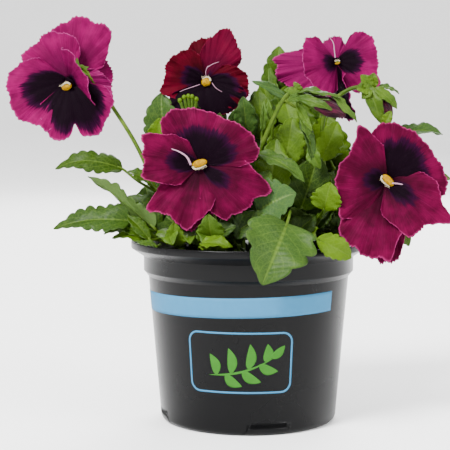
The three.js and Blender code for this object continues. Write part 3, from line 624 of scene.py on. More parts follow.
class Form:
    """One piece in the making: its points, faces and two painted values at every point."""

    def __init__(self):
        self.points, self.faces, self.spans, self.looks = [], [], [], []
        self.count = 0

    def add(self, points, faces, span, look):
        """span is (across, along, side) for each point, and look is four values for the whole."""
        start = self.count
        self.points.append(np.asarray(points, float))
        self.faces.extend(tuple(start + i for i in face) for face in faces)
        self.spans.append(np.asarray(span, float))
        self.looks.append(np.tile(np.asarray(look, float), (len(points), 1)))
        self.count += len(points)

    def build(self, name, material):
        """The finished piece in one material, with its painted values."""
        mesh = bpy.data.meshes.new(name)
        mesh.from_pydata((np.vstack(self.points) * MM).tolist(), [], self.faces)
        span = mesh.attributes.new("span", "FLOAT_VECTOR", "POINT")
        span.data.foreach_set("vector", np.vstack(self.spans).astype(np.float32).ravel())
        look = mesh.attributes.new("look", "FLOAT_COLOR", "POINT")
        look.data.foreach_set("color", np.vstack(self.looks).astype(np.float32).ravel())
        mesh.materials.append(material)
        mesh.update()
        mesh.shade_smooth()
        piece = bpy.data.objects.new(name, mesh)
        bpy.context.scene.collection.objects.link(piece)
        return piece


def finish_piece(piece, slot, *nodes):
    """Puts a piece on the body and hides the nodes that it stands for. The slot is not used."""
    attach(piece, "root")
    if nodes:
        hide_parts(*nodes)


def blade_frame(base, tip, face):
    """Directions along, across and out of a blade, and its length."""
    along = np.subtract(tip, base).astype(float)
    length = np.linalg.norm(along)
    along /= length
    out = unit(np.asarray(face, float) - along * np.dot(face, along))
    return along, np.cross(along, out), out, length


def slab(form, surface, columns, rows, thickness, look, span=None):
    """A closed sheet about surface(across, along), both from 0 to 1. Its front is the side that it faces."""
    across, along = np.meshgrid(np.linspace(0, 1, columns + 1), np.linspace(0, 1, rows + 1))
    across, along = across.ravel(), along.ravel()
    nudge = 0.004
    middle = surface(across, along)
    sideways = surface(across + nudge, along) - surface(across - nudge, along)
    lengthways = surface(across, along + nudge) - surface(across, along - nudge)
    normal = np.cross(sideways, lengthways)
    normal /= np.maximum(np.linalg.norm(normal, axis=1, keepdims=True), 1e-12)
    count = len(middle)
    points = np.vstack([middle + normal * thickness / 2, middle - normal * thickness / 2])
    index = np.arange(count).reshape(rows + 1, columns + 1)
    a, b = index[:-1, :-1].ravel(), index[:-1, 1:].ravel()
    c, d = index[1:, 1:].ravel(), index[1:, :-1].ravel()
    faces = np.vstack([np.column_stack([a, b, c, d]), np.column_stack([a, d, c, b]) + count]).tolist()
    rim = np.concatenate([index[0, :-1], index[:-1, -1], index[-1, :0:-1], index[:0:-1, 0]])
    following = np.roll(rim, -1)
    faces += np.column_stack([rim, rim + count, following + count, following]).tolist()
    shape = span(across, along) if span else np.column_stack([2 * across - 1, along])
    spans = np.vstack([
        np.column_stack([shape, np.zeros(count)]),
        np.column_stack([shape, np.ones(count)]),
    ])
    form.add(points, faces, spans, look)


def curve_through(points, steps):
    """Evenly spaced points on the centripetal Catmull-Rom curve through the given ones."""
    points = [np.asarray(point, float) for point in points]
    padded = [2 * points[0] - points[1], *points, 2 * points[-1] - points[-2]]
    fine = []
    for p0, p1, p2, p3 in zip(padded, padded[1:], padded[2:], padded[3:]):
        d0, d1, d2 = (max(np.linalg.norm(b - a) ** 0.5, 1e-3) for a, b in ((p0, p1), (p1, p2), (p2, p3)))
        m1 = d1 * ((p1 - p0) / d0 - (p2 - p0) / (d0 + d1) + (p2 - p1) / d1)
        m2 = d1 * ((p2 - p1) / d1 - (p3 - p1) / (d1 + d2) + (p3 - p2) / d2)
        for t in np.linspace(0, 1, 24, endpoint=False):
            cubic = 2 * p1 - 2 * p2 + m1 + m2
            square = -3 * p1 + 3 * p2 - 2 * m1 - m2
            fine.append(p1 + m1 * t + square * t * t + cubic * t ** 3)
    fine = np.array([*fine, points[-1]])
    run = np.concatenate([[0], np.cumsum(np.linalg.norm(np.diff(fine, axis=0), axis=1))])
    even = np.linspace(0, run[-1], steps + 1)
    return np.column_stack([np.interp(even, run, fine[:, axis]) for axis in range(3)])


def tube(form, points, radius, sides, steps, look, ribs=0.0, taper=1.0):
    """A closed round tube along a curve, with shallow ribs down its length."""
    path = curve_through(points, steps)
    heading = np.gradient(path, axis=0)
    heading /= np.linalg.norm(heading, axis=1, keepdims=True)
    side = unit(np.cross(heading[0], (0.31, 0.83, 0.46)))
    turns = np.linspace(0, 2 * math.pi, sides, endpoint=False)
    rings = []
    for step, (centre, ahead) in enumerate(zip(path, heading)):
        side = unit(side - ahead * np.dot(side, ahead))
        other = np.cross(ahead, side)
        size = radius * lerp(1, taper, step / steps) * (1 + ribs * np.cos(5 * turns))
        rings.append(centre + np.outer(size * np.cos(turns), side) + np.outer(size * np.sin(turns), other))
    index = np.arange((steps + 1) * sides).reshape(steps + 1, sides)
    beside = np.roll(index, -1, axis=1)
    faces = np.column_stack([
        index[:-1].ravel(), beside[:-1].ravel(), beside[1:].ravel(), index[1:].ravel(),
    ]).tolist()
    faces += [index[0, ::-1].tolist(), index[-1].tolist()]
    share = np.repeat(np.linspace(0, 1, steps + 1), sides)
    spans = np.column_stack([np.tile(np.cos(turns), steps + 1), share, np.full(len(share), 0.5)])
    form.add(np.vstack(rings), faces, spans, look)


def aim(points, direction, centre):
    """Points that were made about +Z, turned so that this axis lies along a direction, and put in place."""
    turn = np.array(Vector((0, 0, 1)).rotation_difference(Vector(direction)).to_matrix())
    return np.asarray(points) @ turn.T + np.asarray(centre, float)


def revolved(form, profile, sides, look, direction=(0, 0, 1), centre=(0, 0, 0), change=None):
    """A closed form of revolution from a profile of (radius, height) that starts and ends on the axis."""
    turns = np.linspace(0, 2 * math.pi, sides, endpoint=False)
    inner = np.array(profile[1:-1], float)
    rings = [np.column_stack([r * np.cos(turns), r * np.sin(turns), np.full(sides, z)]) for r, z in inner]
    points = np.vstack([[(0, 0, profile[0][1])], *rings, [(0, 0, profile[-1][1])]])
    if change:
        points = change(points)
    index = 1 + np.arange(len(inner) * sides).reshape(len(inner), sides)
    beside = np.roll(index, -1, axis=1)
    faces = np.column_stack([
        index[:-1].ravel(), beside[:-1].ravel(), beside[1:].ravel(), index[1:].ravel(),
    ]).tolist()
    faces += [(0, b, a) for a, b in zip(index[0], beside[0])]
    faces += [(len(points) - 1, a, b) for a, b in zip(index[-1], beside[-1])]
    heights = np.linspace(0, 1, len(inner))
    along = np.concatenate([[0], np.repeat(heights, sides), [1]])
    around = np.concatenate([[0], np.tile(turns / math.pi - 1, len(inner)), [0]])
    spans = np.column_stack([around, along, np.zeros(len(along))])
    form.add(aim(points, direction, centre), faces, spans, look)


# ---------------------------------------------------------------- petals


def petal(form, hub, spec, seed, columns=150, rows=18):
    """A fan-shaped petal with a waved, finely crimped edge and shallow pleats along its veins."""
    tip, width, face = spec["tip"], spec["width"], spec["face"]
    arch, layer, spread = spec.get("arch", 0.06), spec.get("layer", 0), spec.get("spread", 2.1)
    along, across, out, length = blade_frame(hub, np.add(hub, tip), face)
    claw = CLAW / length
    fine = 0.36 / (width / 2 + length)

    def polar(s, t):
        return (2 * s - 1) * spread, lerp(claw, 1, 1 - (1 - t) ** 1.5)

    def surface(s, t):
        angle, r = polar(s, np.clip(t, 0, 1))
        crimp = np.sin(39 * angle + 2 * np.sin(5 * angle + seed)) + 0.6 * np.sin(57 * angle + 3 * seed)
        notch = 0.022 * np.sin(5.3 * angle + seed) + 0.012 * np.sin(13 * angle + 2.1 * seed)
        for corner_at, amount, width_of_it in spec.get("corners", ()):
            notch = notch + amount * np.exp(-(((angle - corner_at) / width_of_it) ** 2))
        reach = r * (1 + notch * r ** 3 + fine * crimp * r ** 12)
        x = reach * width / 2 * np.sin(angle)
        y = reach * (0.52 + 0.48 * np.cos(angle))
        z = arch * length * 4 * y * (1 - y)
        z += PETAL_RUFFLE * r ** 3 * np.sin(3.1 * angle) + layer * np.minimum(1, 3 * r)
        z += r ** 5 * (0.8 * np.sin(7.3 * angle + 1.7 * seed) + 0.35 * np.sin(17 * angle + seed))
        z += 0.2 * np.sin(11 * angle + seed) * r * (1 - 0.3 * r) + 0.14 * crimp * r ** 7
        return np.asarray(hub, float) + np.outer(y * length, along) + np.outer(x, across) + np.outer(z, out)

    def span(s, t):
        angle, r = polar(s, t)
        return np.column_stack([angle, r])

    look = (spec["blotch"], spec["blotch_width"], spec["shade"] - spec.get("mauve", 0), seed / 40)
    slab(form, surface, columns, rows, PETAL_THICKNESS, look, span)


def ball(form, centre, radii, direction, look, sides=24, rings=12):
    """A rounded lump with its own radii across and along a direction."""
    across, along = radii
    angles = [math.pi * i / rings for i in range(rings + 1)]
    profile = [(across * math.sin(angle), -along * math.cos(angle)) for angle in angles]
    revolved(form, profile, sides, look, direction, centre)


def eye_frame(spec):
    """An eye's place, the way it faces, its two directions along the petals and its two half sizes."""
    facing = unit(spec.get("eye", spec["facing"]))
    reach = spec.get("eye_reach", HUB_RADIUS + GAP + EYE_RADIUS)
    lip = np.asarray(spec.get("eye_lip", spec["petals"][-1]["tip"]), float)
    lip = unit(lip - facing * np.dot(lip, facing))
    side = np.cross(lip, facing)
    size = spec.get("eye_size", 1)
    broad, tall = (size * half for half in spec.get("eye_shape", EYE_HALVES))
    return np.add(spec["hub"], (reach - EYE_SUNK) * facing), facing, lip, side, broad, tall


def bloom(name, spec):
    """A bloom's hub and petals in one piece."""
    form = Form()
    rng = random.Random(name)
    ball(form, spec["hub"], (HUB_RADIUS * 0.8, HUB_RADIUS * 0.8), spec["facing"], (1, 3, 0, 0))
    for own, (blotch, blotch_width) in zip(spec["petals"], spec.get("blotches", BLOTCHES)):
        own = {"blotch": blotch, "blotch_width": blotch_width, "shade": spec.get("shade", 0), **own}
        petal(form, spec["hub"], own, rng.uniform(0, 12))
    if "eye" in spec:
        back, facing, lip, side, broad, tall = eye_frame(spec)
        cup = (1.2 * broad * side, 1.5 * tall * lip, 1.2 * facing)
        lump(form, back + 0.8 * lip - 1.9 * facing, cup, (1, 3, 0, 0))
    piece = form.build(f"{name}_velvet_petals", PETAL[spec["tone"]])
    slot = "crimson_petal" if spec["tone"] == "crimson" else "magenta_petal"
    finish_piece(piece, slot, f"{name}_petals")


def lump(form, centre, axes, look, sides=28, rings=14):
    """A rounded lump with three half axes, each given as a vector."""
    profile = [(math.sin(math.pi * i / rings), -math.cos(math.pi * i / rings)) for i in range(rings + 1)]
    revolved(form, profile, sides, look, change=lambda points: points @ np.array(axes) + centre)


def bloom_eye(name, spec):
    """The yellow eye on the lip, its white beards, and the pale curled folds of the petals' edges."""
    rng = random.Random(name + "eye")
    back, facing, lip, side, broad, tall = eye_frame(spec)
    form = Form()
    size = spec.get("eye_size", 1)
    lump(form, back + 0.8 * lip + 0.2 * facing, (broad * side, tall * lip, 1.5 * facing), (0, 0, 0, 0))
    lump(form, back + 0.2 * lip + 0.5 * facing, (0.6 * side, 0.5 * lip, 1.1 * facing), (1, 0, 0, 0))
    bend = ((-3.5, 0.4), (-3, -0.9), (-0.6, -1.4), (2.6, -0.8))
    crescent = [
        back + x / EYE_HALVES[0] * broad * side + y / EYE_HALVES[1] * tall * lip + 0.5 * facing
        for x, y in bend
    ]
    tube(form, crescent, 0.55 * size ** 0.4, 9, 24, (0, 1, 0, 0), ribs=0.08, taper=0.3)
    for way in (-1, 1):
        for _ in range(BEARD_HAIRS):
            root = back + way * rng.uniform(0.16, 0.8) * broad * side + rng.uniform(-0.95, -0.5) * tall * lip
            lean = facing * rng.uniform(0.5, 1) + lip * rng.uniform(-0.8, 0.3)
            lean = lean - way * side * rng.uniform(-0.3, 0.5)
            end = root + rng.uniform(0.7, 1.1) * unit(lean)
            tube(form, [root, (root + end) / 2 + 0.1 * lip, end], 0.12, 5, 4, (0, 1, 0, 0), taper=0.35)
    for radius, growth, fold in FOLDS.get(name, ()):
        tube(form, fold, radius, 8, 24, (0, 0, 1, 0), ribs=0.12, taper=growth)
    piece = form.build(f"{name}_golden_eye", EYE)
    finish_piece(piece, "flower_eye", f"{name}_eye")


def bud(name, spec):
    """Furled petals wound about the bud's axis, with a deep twisted fold between each pair."""
    form = Form()
    rings = 56
    profile = []
    for ring in range(rings + 1):
        share = ring / rings
        radius = spec["petal_width"] / 2 * math.sin(math.pi * share) ** 0.8
        profile.append((radius, CALYX_RADIUS + GAP + share * spec["petal_length"]))

    def furled(points):
        points = points.copy()
        angle = np.arctan2(points[:, 1], points[:, 0])
        wound = (BUD_FOLDS * angle + 0.25 * points[:, 2]) / (2 * math.pi)
        ridge = wound % 1
        fold = 0.86 + 0.32 * ridge ** 1.6 * np.clip((1 - ridge) / 0.08, 0, 1)
        fold += 0.02 * np.sin(23 * angle + 0.8 * points[:, 2])
        points[:, :2] *= fold[:, None]
        return points

    revolved(form, profile, 120, (0, 0, 0, 0), spec["toward"], spec["centre"], furled)
    finish_piece(form.build(f"{name}_furled_petals", BUD), "bud_petal", f"{name}_petals")
    sepals = Form()
    for own in BUD_SEPALS[name]:
        own = {"wave": 0.05, "tooth_depth": 0.08, "turn": own["width"], **own}
        blade(sepals, own, (*own["tone"], 0.3, own["width"] / 9))
    finish_piece(sepals.build(f"{name}_sepals", LEAF), "leaf")


# ---------------------------------------------------------------- leaves and stems


def leaf_outline(along, swell):
    """Half width along a leaf: a wedge at the base, blunt at the tip, broader low down for a small swell."""
    return np.maximum(0.03, np.sin(math.pi * np.clip(along, 0, 1) ** swell) ** 0.7)


def blade(form, spec, look):
    """A leaf with round teeth, a folded midrib, sunk side veins and a waved edge."""
    along, across, out, length = blade_frame(spec["base"], spec["tip"], spec["face"])
    arch, fold = spec.get("arch", 0.1), spec.get("fold", 0.3)
    wave, turn = spec.get("wave", 0.05), spec.get("turn", 0)
    half, swell = spec["width"] / 2, spec.get("swell", 0.8)
    teeth = spec.get("teeth", LEAF_TEETH if spec["width"] > 9 else 3)
    depth = spec.get("tooth_depth", TOOTH_DEPTH)
    rows = int(np.clip(16 + 1.2 * length, 26, 52))

    def surface(s, t):
        u = 2 * s - 1
        inside = np.clip(t, 0, 1)
        place = ((teeth * inside ** 0.9 + 0.2 + 0.12 * np.sign(u)) % 1) ** 1.5
        notch = 1 - np.sqrt(np.maximum(0, 1 - (2 * place - 1) ** 2))
        tooth = 1 - depth * notch * np.clip(4 * inside, 0, 1)
        reach = u * leaf_outline(inside, swell) * lerp(1, tooth, u * u)
        x = half * reach
        ripple = wave * length * reach * np.sin(9 * t + 2 * u + turn)
        ripple += 0.35 * np.abs(u) ** 3 * np.sin(26 * t + 3 * turn + 2 * np.sign(u))
        vein = np.cos(2 * math.pi * (6 * t - 2.6 * np.abs(u)))
        quilt = 0.03 * half * (1 - vein ** 6) * (1 - u * u) * np.clip(6 * inside * (1 - inside), 0, 1)
        z = arch * length * 4 * t * (1 - t) + np.abs(x) * fold + ripple + quilt
        z -= 0.25 * np.exp(-((u / 0.1) ** 2))
        base = np.asarray(spec["base"], float)
        return base + np.outer(t * length, along) + np.outer(x, across) + np.outer(z, out)

    slab(form, surface, 14 if spec["width"] > 9 else 10, rows, LEAF_THICKNESS, look)


def midrib(spec, share):
    """A point on a leaf's midrib."""
    along, _, out, length = blade_frame(spec["base"], spec["tip"], spec["face"])
    rise = spec.get("arch", 0.1) * length * 4 * share * (1 - share)
    return np.asarray(spec["base"], float) + along * share * length + out * rise


def leaf(form, spec, tone, seed):
    """A leaf's blade and petiole. tone is (brightness, greyness), and the brightness is painted light and
    shade over the leaf's own tone.
    """
    joint, base = np.asarray(spec["joint"], float), np.asarray(spec["base"], float)
    middle = lerp(joint, base, 0.55)
    middle[2] -= 0.08 * np.linalg.norm(middle - joint)
    route = [joint, spec.get("via", middle), base, midrib(spec, PETIOLE_GRIP)]
    blade(form, spec, (*tone, 0, seed))
    tube(form, route, PETIOLE_RADIUS, 9, 16, (*tone, 1, seed), ribs=0.06, taper=0.8)
    sunk = 0.12 * unit(spec["face"])
    rib = [base, *(midrib(spec, share) - sunk for share in (0.2, 0.45, 0.7, 0.9))]
    tube(form, rib, 0.36, 6, 14, (*tone, 0.7, seed), taper=0.2)


def calyx(form, spec, look):
    """Five pointed sepals round a small cup that the stalk enters."""
    reach, splay = spec["reach"], spec.get("splay", 1.9)
    breadth, hug = (0.2, 0.26) if splay < 1 else (0.17, 0.08)
    ball(form, spec["centre"], (CALYX_RADIUS, CALYX_RADIUS), spec["toward"], look)
    for i in range(SEPALS):
        turn = 2 * math.pi * i / SEPALS
        side = np.array((math.sin(turn), -math.cos(turn), 0))
        arm = side * math.sin(splay) + np.array((0, 0, math.cos(splay)))
        inward = -side * math.cos(splay) + np.array((0, 0, math.sin(splay)))
        across = np.cross(arm, inward)

        def surface(s, t, arm=arm, inward=inward, across=across):
            u = 2 * s - 1
            inside = np.clip(t, 0, 1)
            x = u * breadth * reach * np.maximum(0.04, np.sin(math.pi * (0.24 + 0.76 * inside)) ** 0.8)
            z = 0.25 * np.abs(x) - 0.06 * reach * np.sin(math.pi * t) - hug * reach * t ** 2
            local = np.outer(0.8 + t * (reach * 1.05 - 0.8), arm) + np.outer(x, across) + np.outer(-z, inward)
            return aim(local, spec["toward"], spec["centre"])

        slab(form, surface, 8, 16, 0.35, (look[0], look[1], 0.5, look[3]))


def leafy_stem(name, spec):
    """A stem with its leaves, and its stalk and calyx where it bears a bloom or a bud."""
    form = Form()
    rng = random.Random(name)
    root = spec["root"]
    route = [(*root, ROOT_Z), (*root, ROOT_Z + 5), (*root, ROOT_Z + 10), *spec["stem"]]
    tube(form, route, STEM_RADIUS, 16, 40, (0.5, 0.2, 1, rng.random()), ribs=0.05, taper=0.85)
    for own in spec["leaves"]:
        tone = own.get("tone", (rng.uniform(0.25, 0.75), rng.uniform(0, 0.5)))
        leaf(form, own, tone, rng.random())
    if "bears" in spec:
        stalk = [*spec["stalk"], spec["bears"]["centre"]]
        tube(form, stalk, STALK_RADIUS, 12, 60, (0.7, 0.15, 1, rng.random()), ribs=0.05)
        calyx(form, spec["bears"], (0.65, 0.2, 1, rng.random()))
    finish_piece(form.build(f"{name}_foliage", LEAF), "leaf", name)


# ---------------------------------------------------------------- pot, print and soil


def wall_radius(z):
    """The outer radius of the pot's wall at a height."""
    return BASE_RADIUS + WALL_SLOPE * z


def arc(centre, radius, start, stop, steps):
    """Points of (radius, height) on an arc, with angles in degrees from straight out."""
    angles = np.radians(np.linspace(start, stop, steps + 1))
    return [(centre[0] + radius * math.cos(a), centre[1] + radius * math.sin(a)) for a in angles]


def pot_outside():
    """The filled outside: a rounded foot, a sloping wall, a stepped collar and a flared, rounded lip."""
    foot = arc((wall_radius(CORNER) - CORNER, CORNER), CORNER, -90, -4, 8)
    shoulder = [(wall_radius(SHOULDER_Z), SHOULDER_Z), (wall_radius(SHOULDER_Z) + 0.5, SHOULDER_Z + 0.5)]
    step = arc((COLLAR_RADIUS - 0.8, COLLAR_Z), 0.8, -70, 0, 4)
    flare = [(COLLAR_RADIUS, FLARE_Z - 0.6), (COLLAR_RADIUS + 0.3, FLARE_Z + 0.2)]
    lip = arc((LIP_RADIUS - 0.9, LIP_Z + 0.9), 0.9, -60, 0, 4)
    lip += arc((LIP_RADIUS - 0.6, POT_HEIGHT - 0.6), 0.6, 0, 90, 5)
    wall = [(wall_radius(z), z) for z in (7, 10, 20, 30, 40, 50, 60)]
    return [(0, 0), *foot, *wall, *shoulder, *step, *flare, *lip, (0, POT_HEIGHT)]


def pot_inside():
    """The hollow that is taken out of the filled outside, from the floor to above the lip."""
    walls = [(FLOOR, 1.5), (CORNER + 1, 0), (SHOULDER_Z + 0.5, 0)]
    hollow = [(wall_radius(z) - WALL - inset, z) for z, inset in walls]
    hollow += [
        (COLLAR_RADIUS - WALL, COLLAR_Z + 0.5),
        (COLLAR_RADIUS - WALL, FLARE_Z + 0.2),
        (LIP_RADIUS - WALL - 0.4, LIP_Z + 0.9),
        (LIP_RADIUS - WALL, POT_HEIGHT - 0.6),
        (LIP_RADIUS - WALL + 0.5, POT_HEIGHT + 0.1),
        (LIP_RADIUS - WALL + 0.5, POT_HEIGHT + 2),
    ]
    return [(0, FLOOR), *hollow, (0, POT_HEIGHT + 2)]


def prism(outline, depth, turn, distance):
    """A scratch wedge with an outline of (across, up), square to a direction, from a distance outwards."""
    mesh = bpy.data.meshes.new("wedge")
    ahead = np.array((math.sin(turn), -math.cos(turn), 0))
    side = np.array((math.cos(turn), math.sin(turn), 0))
    near = [x * side + np.array((0, 0, z)) + ahead * distance for x, z in outline]
    far = [point + ahead * depth for point in near]
    n = len(outline)
    faces = [tuple(range(n)), tuple(reversed(range(n, 2 * n)))]
    faces += [(i, i + n, (i + 1) % n + n, (i + 1) % n) for i in range(n)]
    mesh.from_pydata((np.array(near + far) * MM).tolist(), [], faces)
    wedge = bpy.data.objects.new("wedge", mesh)
    bpy.context.scene.collection.objects.link(wedge)
    return wedge


def combine(piece, tools, operation):
    """Applies one exact boolean for each tool, then removes the tools."""
    for tool in tools:
        modifier = piece.modifiers.new("cut", "BOOLEAN")
        modifier.operation = operation
        modifier.solver = "EXACT"
        modifier.object = tool
    graph = bpy.context.evaluated_depsgraph_get()
    result = bpy.data.meshes.new_from_object(piece.evaluated_get(graph))
    piece.modifiers.clear()
    piece.data = result
    for tool in tools:
        bpy.data.objects.remove(tool)


def pocket_outline(margin, low):
    """The outline of a drainage pocket, grown by a margin."""
    foot, head = POCKET_FOOT / 2 + margin, POCKET_TOP / 2 + margin
    return [(-foot, low), (foot, low), (head, POCKET_HEIGHT + margin), (-head, POCKET_HEIGHT + margin)]


def drain(turn):
    """A scratch rod, upright in a pocket, that cuts its hole."""
    distance = BASE_RADIUS - POCKET_DEPTH / 2 - 1
    rod = Form()
    ends = [(DRAIN_RADIUS, 3), (DRAIN_RADIUS, 9)]
    middle = (distance * math.sin(turn), -distance * math.cos(turn), 0)
    revolved(rod, [(0, 3), *ends, (0, 9)], 28, (0, 0, 0, 0), centre=middle)
    return rod.build("drain", PLASTIC)


def pot():
    """The moulded pot: a filled body with its inside, four pockets and their drain holes cut away."""
    filled, hollow = Form(), Form()
    revolved(filled, pot_outside(), POT_SIDES, (0, 0, 0, 0))
    revolved(hollow, pot_inside(), POT_SIDES, (0, 0, 0, 0))
    piece = filled.build("pot_moulded", PLASTIC)
    inner = hollow.build("hollow", PLASTIC)
    reach = BASE_RADIUS - POCKET_DEPTH
    turns = [math.radians(POCKET_TURN + 360 / POCKETS * i) for i in range(POCKETS)]
    steps = [prism(pocket_outline(WALL, -1), 2 * POCKET_DEPTH, turn, reach - WALL) for turn in turns]
    combine(inner, steps, "DIFFERENCE")
    pockets = [prism(pocket_outline(0, -1), 2 * POCKET_DEPTH, turn, reach) for turn in turns]
    combine(piece, [inner, *pockets, *(drain(turn) for turn in turns)], "DIFFERENCE")
    piece.data.shade_smooth()
    piece.data.set_sharp_from_angle(angle=math.radians(28))
    finish_piece(piece, "pot_plastic", "pot")


def on_wall(azimuth, z, lift):
    """A point over the pot's wall. Azimuth is in degrees from the front, and positive to the right."""
    turn = np.radians(azimuth)
    radius = wall_radius(z) + lift
    return np.column_stack([radius * np.sin(turn), -radius * np.cos(turn), z])


def printed(form, low_edge, high_edge, start, stop, columns, look, rows=2):
    """A thin print on the wall between two edges, which are heights as functions of azimuth."""
    def surface(s, t):
        azimuth = lerp(start, stop, s)
        return on_wall(azimuth, lerp(low_edge(azimuth), high_edge(azimuth), t), 0.05)

    slab(form, surface, columns, rows, 0.08, look)


def stripe():
    """The pale blue stripe across the front of the wall."""
    form = Form()
    skew = STRIPE_SKEW / 50
    printed(form, lambda a: STRIPE_LOW + skew * a, lambda a: STRIPE_HIGH + skew * a,
            STRIPE_FROM, STRIPE_TO, 160, (0, 0, 0, 0), rows=6)
    finish_piece(form.build("pot_stripe", PRINT), "pot_plastic")


def emblem():
    """A plain framed sprig: a rounded frame, a stalk and pairs of leaves, printed on the front."""
    middle, height, half_width, half_height, corner, line = -5, 35, 25, 14.5, 5, 0.9
    degrees = 180 / math.pi / wall_radius(height)
    form = Form()
    outline = []
    for x, z, start in ((1, 1, 0), (-1, 1, 90), (-1, -1, 180), (1, -1, 270)):
        for a in np.radians(np.linspace(start, start + 90, 13)):
            centre = (x * (half_width - corner), z * (half_height - corner))
            outline.append((*centre, math.cos(a), math.sin(a)))
    outline = np.array(outline)
    steps = []
    for first, second in zip(outline, np.roll(outline, -1, axis=0)):
        long_run = np.linalg.norm((second - first)[:2]) > 1
        shares = np.linspace(0, 1, 16, False) if long_run else (0,)
        steps += [lerp(first, second, share) for share in shares]
    steps = np.array(steps)

    def edge(radius, lift):
        x = steps[:, 0] + radius * steps[:, 2]
        z = steps[:, 1] + radius * steps[:, 3]
        return on_wall(middle + x * degrees, height + z, lift)

    loops = [edge(corner, 0.01), edge(corner, 0.09), edge(corner - line, 0.09), edge(corner - line, 0.01)]
    n = len(steps)
    index = np.arange(4 * n).reshape(4, n)
    following, beside = np.roll(index, -1, axis=0), np.roll(index, -1, axis=1)
    corners = np.roll(following, -1, axis=1)
    faces = np.column_stack([index.ravel(), following.ravel(), corners.ravel(), beside.ravel()]).tolist()
    form.add(np.vstack(loops), faces, np.zeros((4 * n, 3)), (0, 0, 0, 0))

    def stroke(start, end, bend, width, look):
        start, end = np.array(start, float), np.array(end, float)
        ahead = end - start
        side = np.array((ahead[1], -ahead[0])) / np.linalg.norm(ahead)

        def surface(s, t):
            spine = start + np.outer(t, ahead) + np.outer(bend * np.sin(math.pi * t), side)
            swell = np.maximum(0.05, np.sin(math.pi * np.clip(t, 0, 1) ** 0.8) ** 0.8)
            reach = (2 * s - 1) * width / 2 * swell
            flat = spine + np.outer(reach, side)
            return on_wall(middle + flat[:, 0] * degrees, height + flat[:, 1], 0.05)

        slab(form, surface, 6, 20, 0.08, look)

    stroke((-15, -6), (17, 3), 2.5, 1.1, (1, 0, 0, 0))
    for root, tip in (
        ((-11, -5.8), (-14, 4)), ((-7, -5.6), (1, -11)), ((-4, -4.9), (-5, 7)), ((1, -3.8), (10, -9)),
        ((4, -2.8), (5, 9)), ((9, -0.8), (18, -4)), ((12, 0.6), (13, 9)),
    ):
        stroke(root, tip, 1.1, 4.6, (1, 0, 0, 0))
    stroke((15, 2.2), (21, 8), 0.5, 4, (1, 0, 0, 0))
    finish_piece(form.build("pot_sprig_emblem", PRINT), "pot_plastic")


def lumps(x, y):
    """The height of broad unevenness in the soil."""
    return 0.9 * np.sin(0.31 * x + 1.3) * np.cos(0.27 * y) + 0.6 * np.sin(0.53 * y + 0.4 * x)


def crumbs(x, y):
    """Fine relief of broken soil, from waves of many directions and sizes."""
    relief = 0
    for i in range(9):
        turn, pitch = 2.4 * i, 0.9 + 0.38 * i
        relief = relief + np.sin(pitch * (x * math.cos(turn) + y * math.sin(turn)) + i * i) / (1 + 0.35 * i)
    return 0.32 * relief


def soil():
    """The filling inside the pot, with a crumbly mounded top, loose crumbs and a few pale grains."""
    inset = WALL + 0.3
    foot = POCKET_HEIGHT + WALL + 0.3
    profile = [(0, foot)]
    profile += [(wall_radius(z) - inset, z) for z in (foot, 20, 40, SHOULDER_Z - 1)]
    profile += [(SOIL_RADIUS, COLLAR_Z), (SOIL_RADIUS, SOIL_EDGE_Z - 0.6)]
    top = [(SOIL_RADIUS * part, SOIL_EDGE_Z + SOIL_MOUND * (1 - part ** 2)) for part in np.linspace(1, 0, 61)]

    def broken(points):
        points = points.copy()
        x, y, z = points.T
        upper = z > SOIL_EDGE_Z - 0.1
        shore = np.clip((SOIL_RADIUS - np.hypot(x, y)) / 4, 0, 1)
        points[:, 2] += np.where(upper, lumps(x, y) * shore + crumbs(x, y) * (0.3 + 0.7 * shore), 0)
        return points

    form = Form()
    revolved(form, profile + top, 150, (0, 0, 0, 0), change=broken)
    rng = random.Random("crumbs")
    for i in range(SOIL_CRUMBS):
        distance, angle = CRUMB_REACH * math.sqrt(rng.random()), rng.uniform(0, 2 * math.pi)
        x, y = distance * math.cos(angle), distance * math.sin(angle)
        z = SOIL_EDGE_Z + SOIL_MOUND * (1 - (distance / SOIL_RADIUS) ** 2) + float(lumps(x, y))
        size = rng.uniform(0.4, 1.5)
        lean = unit((rng.uniform(-1, 1), rng.uniform(-1, 1), rng.uniform(0.2, 1)))
        grain = (0.5, 0, 0, 0) if i % 11 else (1, 0, 0, 0)
        ball(form, (x, y, z + 0.3 * size), (size, size * rng.uniform(0.5, 0.9)), lean, grain, 9, 6)
    finish_piece(form.build("soil_crumbly_fill", SOIL), "soil", "soil")


# ---------------------------------------------------------------- small foliage between the stems


def inner_leaves():
    """Leaves inside the crown, in a left and a right piece, and a newly opening tuft of frilled tips."""
    halves = {"left": Form(), "right": Form()}
    rng = random.Random("inner leaves")
    for own in INNER_LEAVES:
        half = halves["left" if own["base"][0] < CROWN_SPLIT else "right"]
        leaf(half, {"turn": rng.uniform(0, 6), **own}, own["tone"], rng.random())
    for tip in TUFT_TIPS:
        root = np.add(TUFT_ROOT, (0.25 * (tip[0] - TUFT_ROOT[0]), 0, 0))
        route = [root, lerp(root, np.array(tip), 0.6), tip]
        tube(halves["left"], route, 0.85, 9, 14, (0.9, 0.3, 0.6, 0.4), ribs=0.1)
        ball(halves["left"], tip, (1.15, 1.3), (0, -0.3, 1), (1, 0, 0.2, 0.6), 10, 8)
    for side, form in halves.items():
        finish_piece(form.build(f"inner_leaves_{side}", LEAF), "leaf")


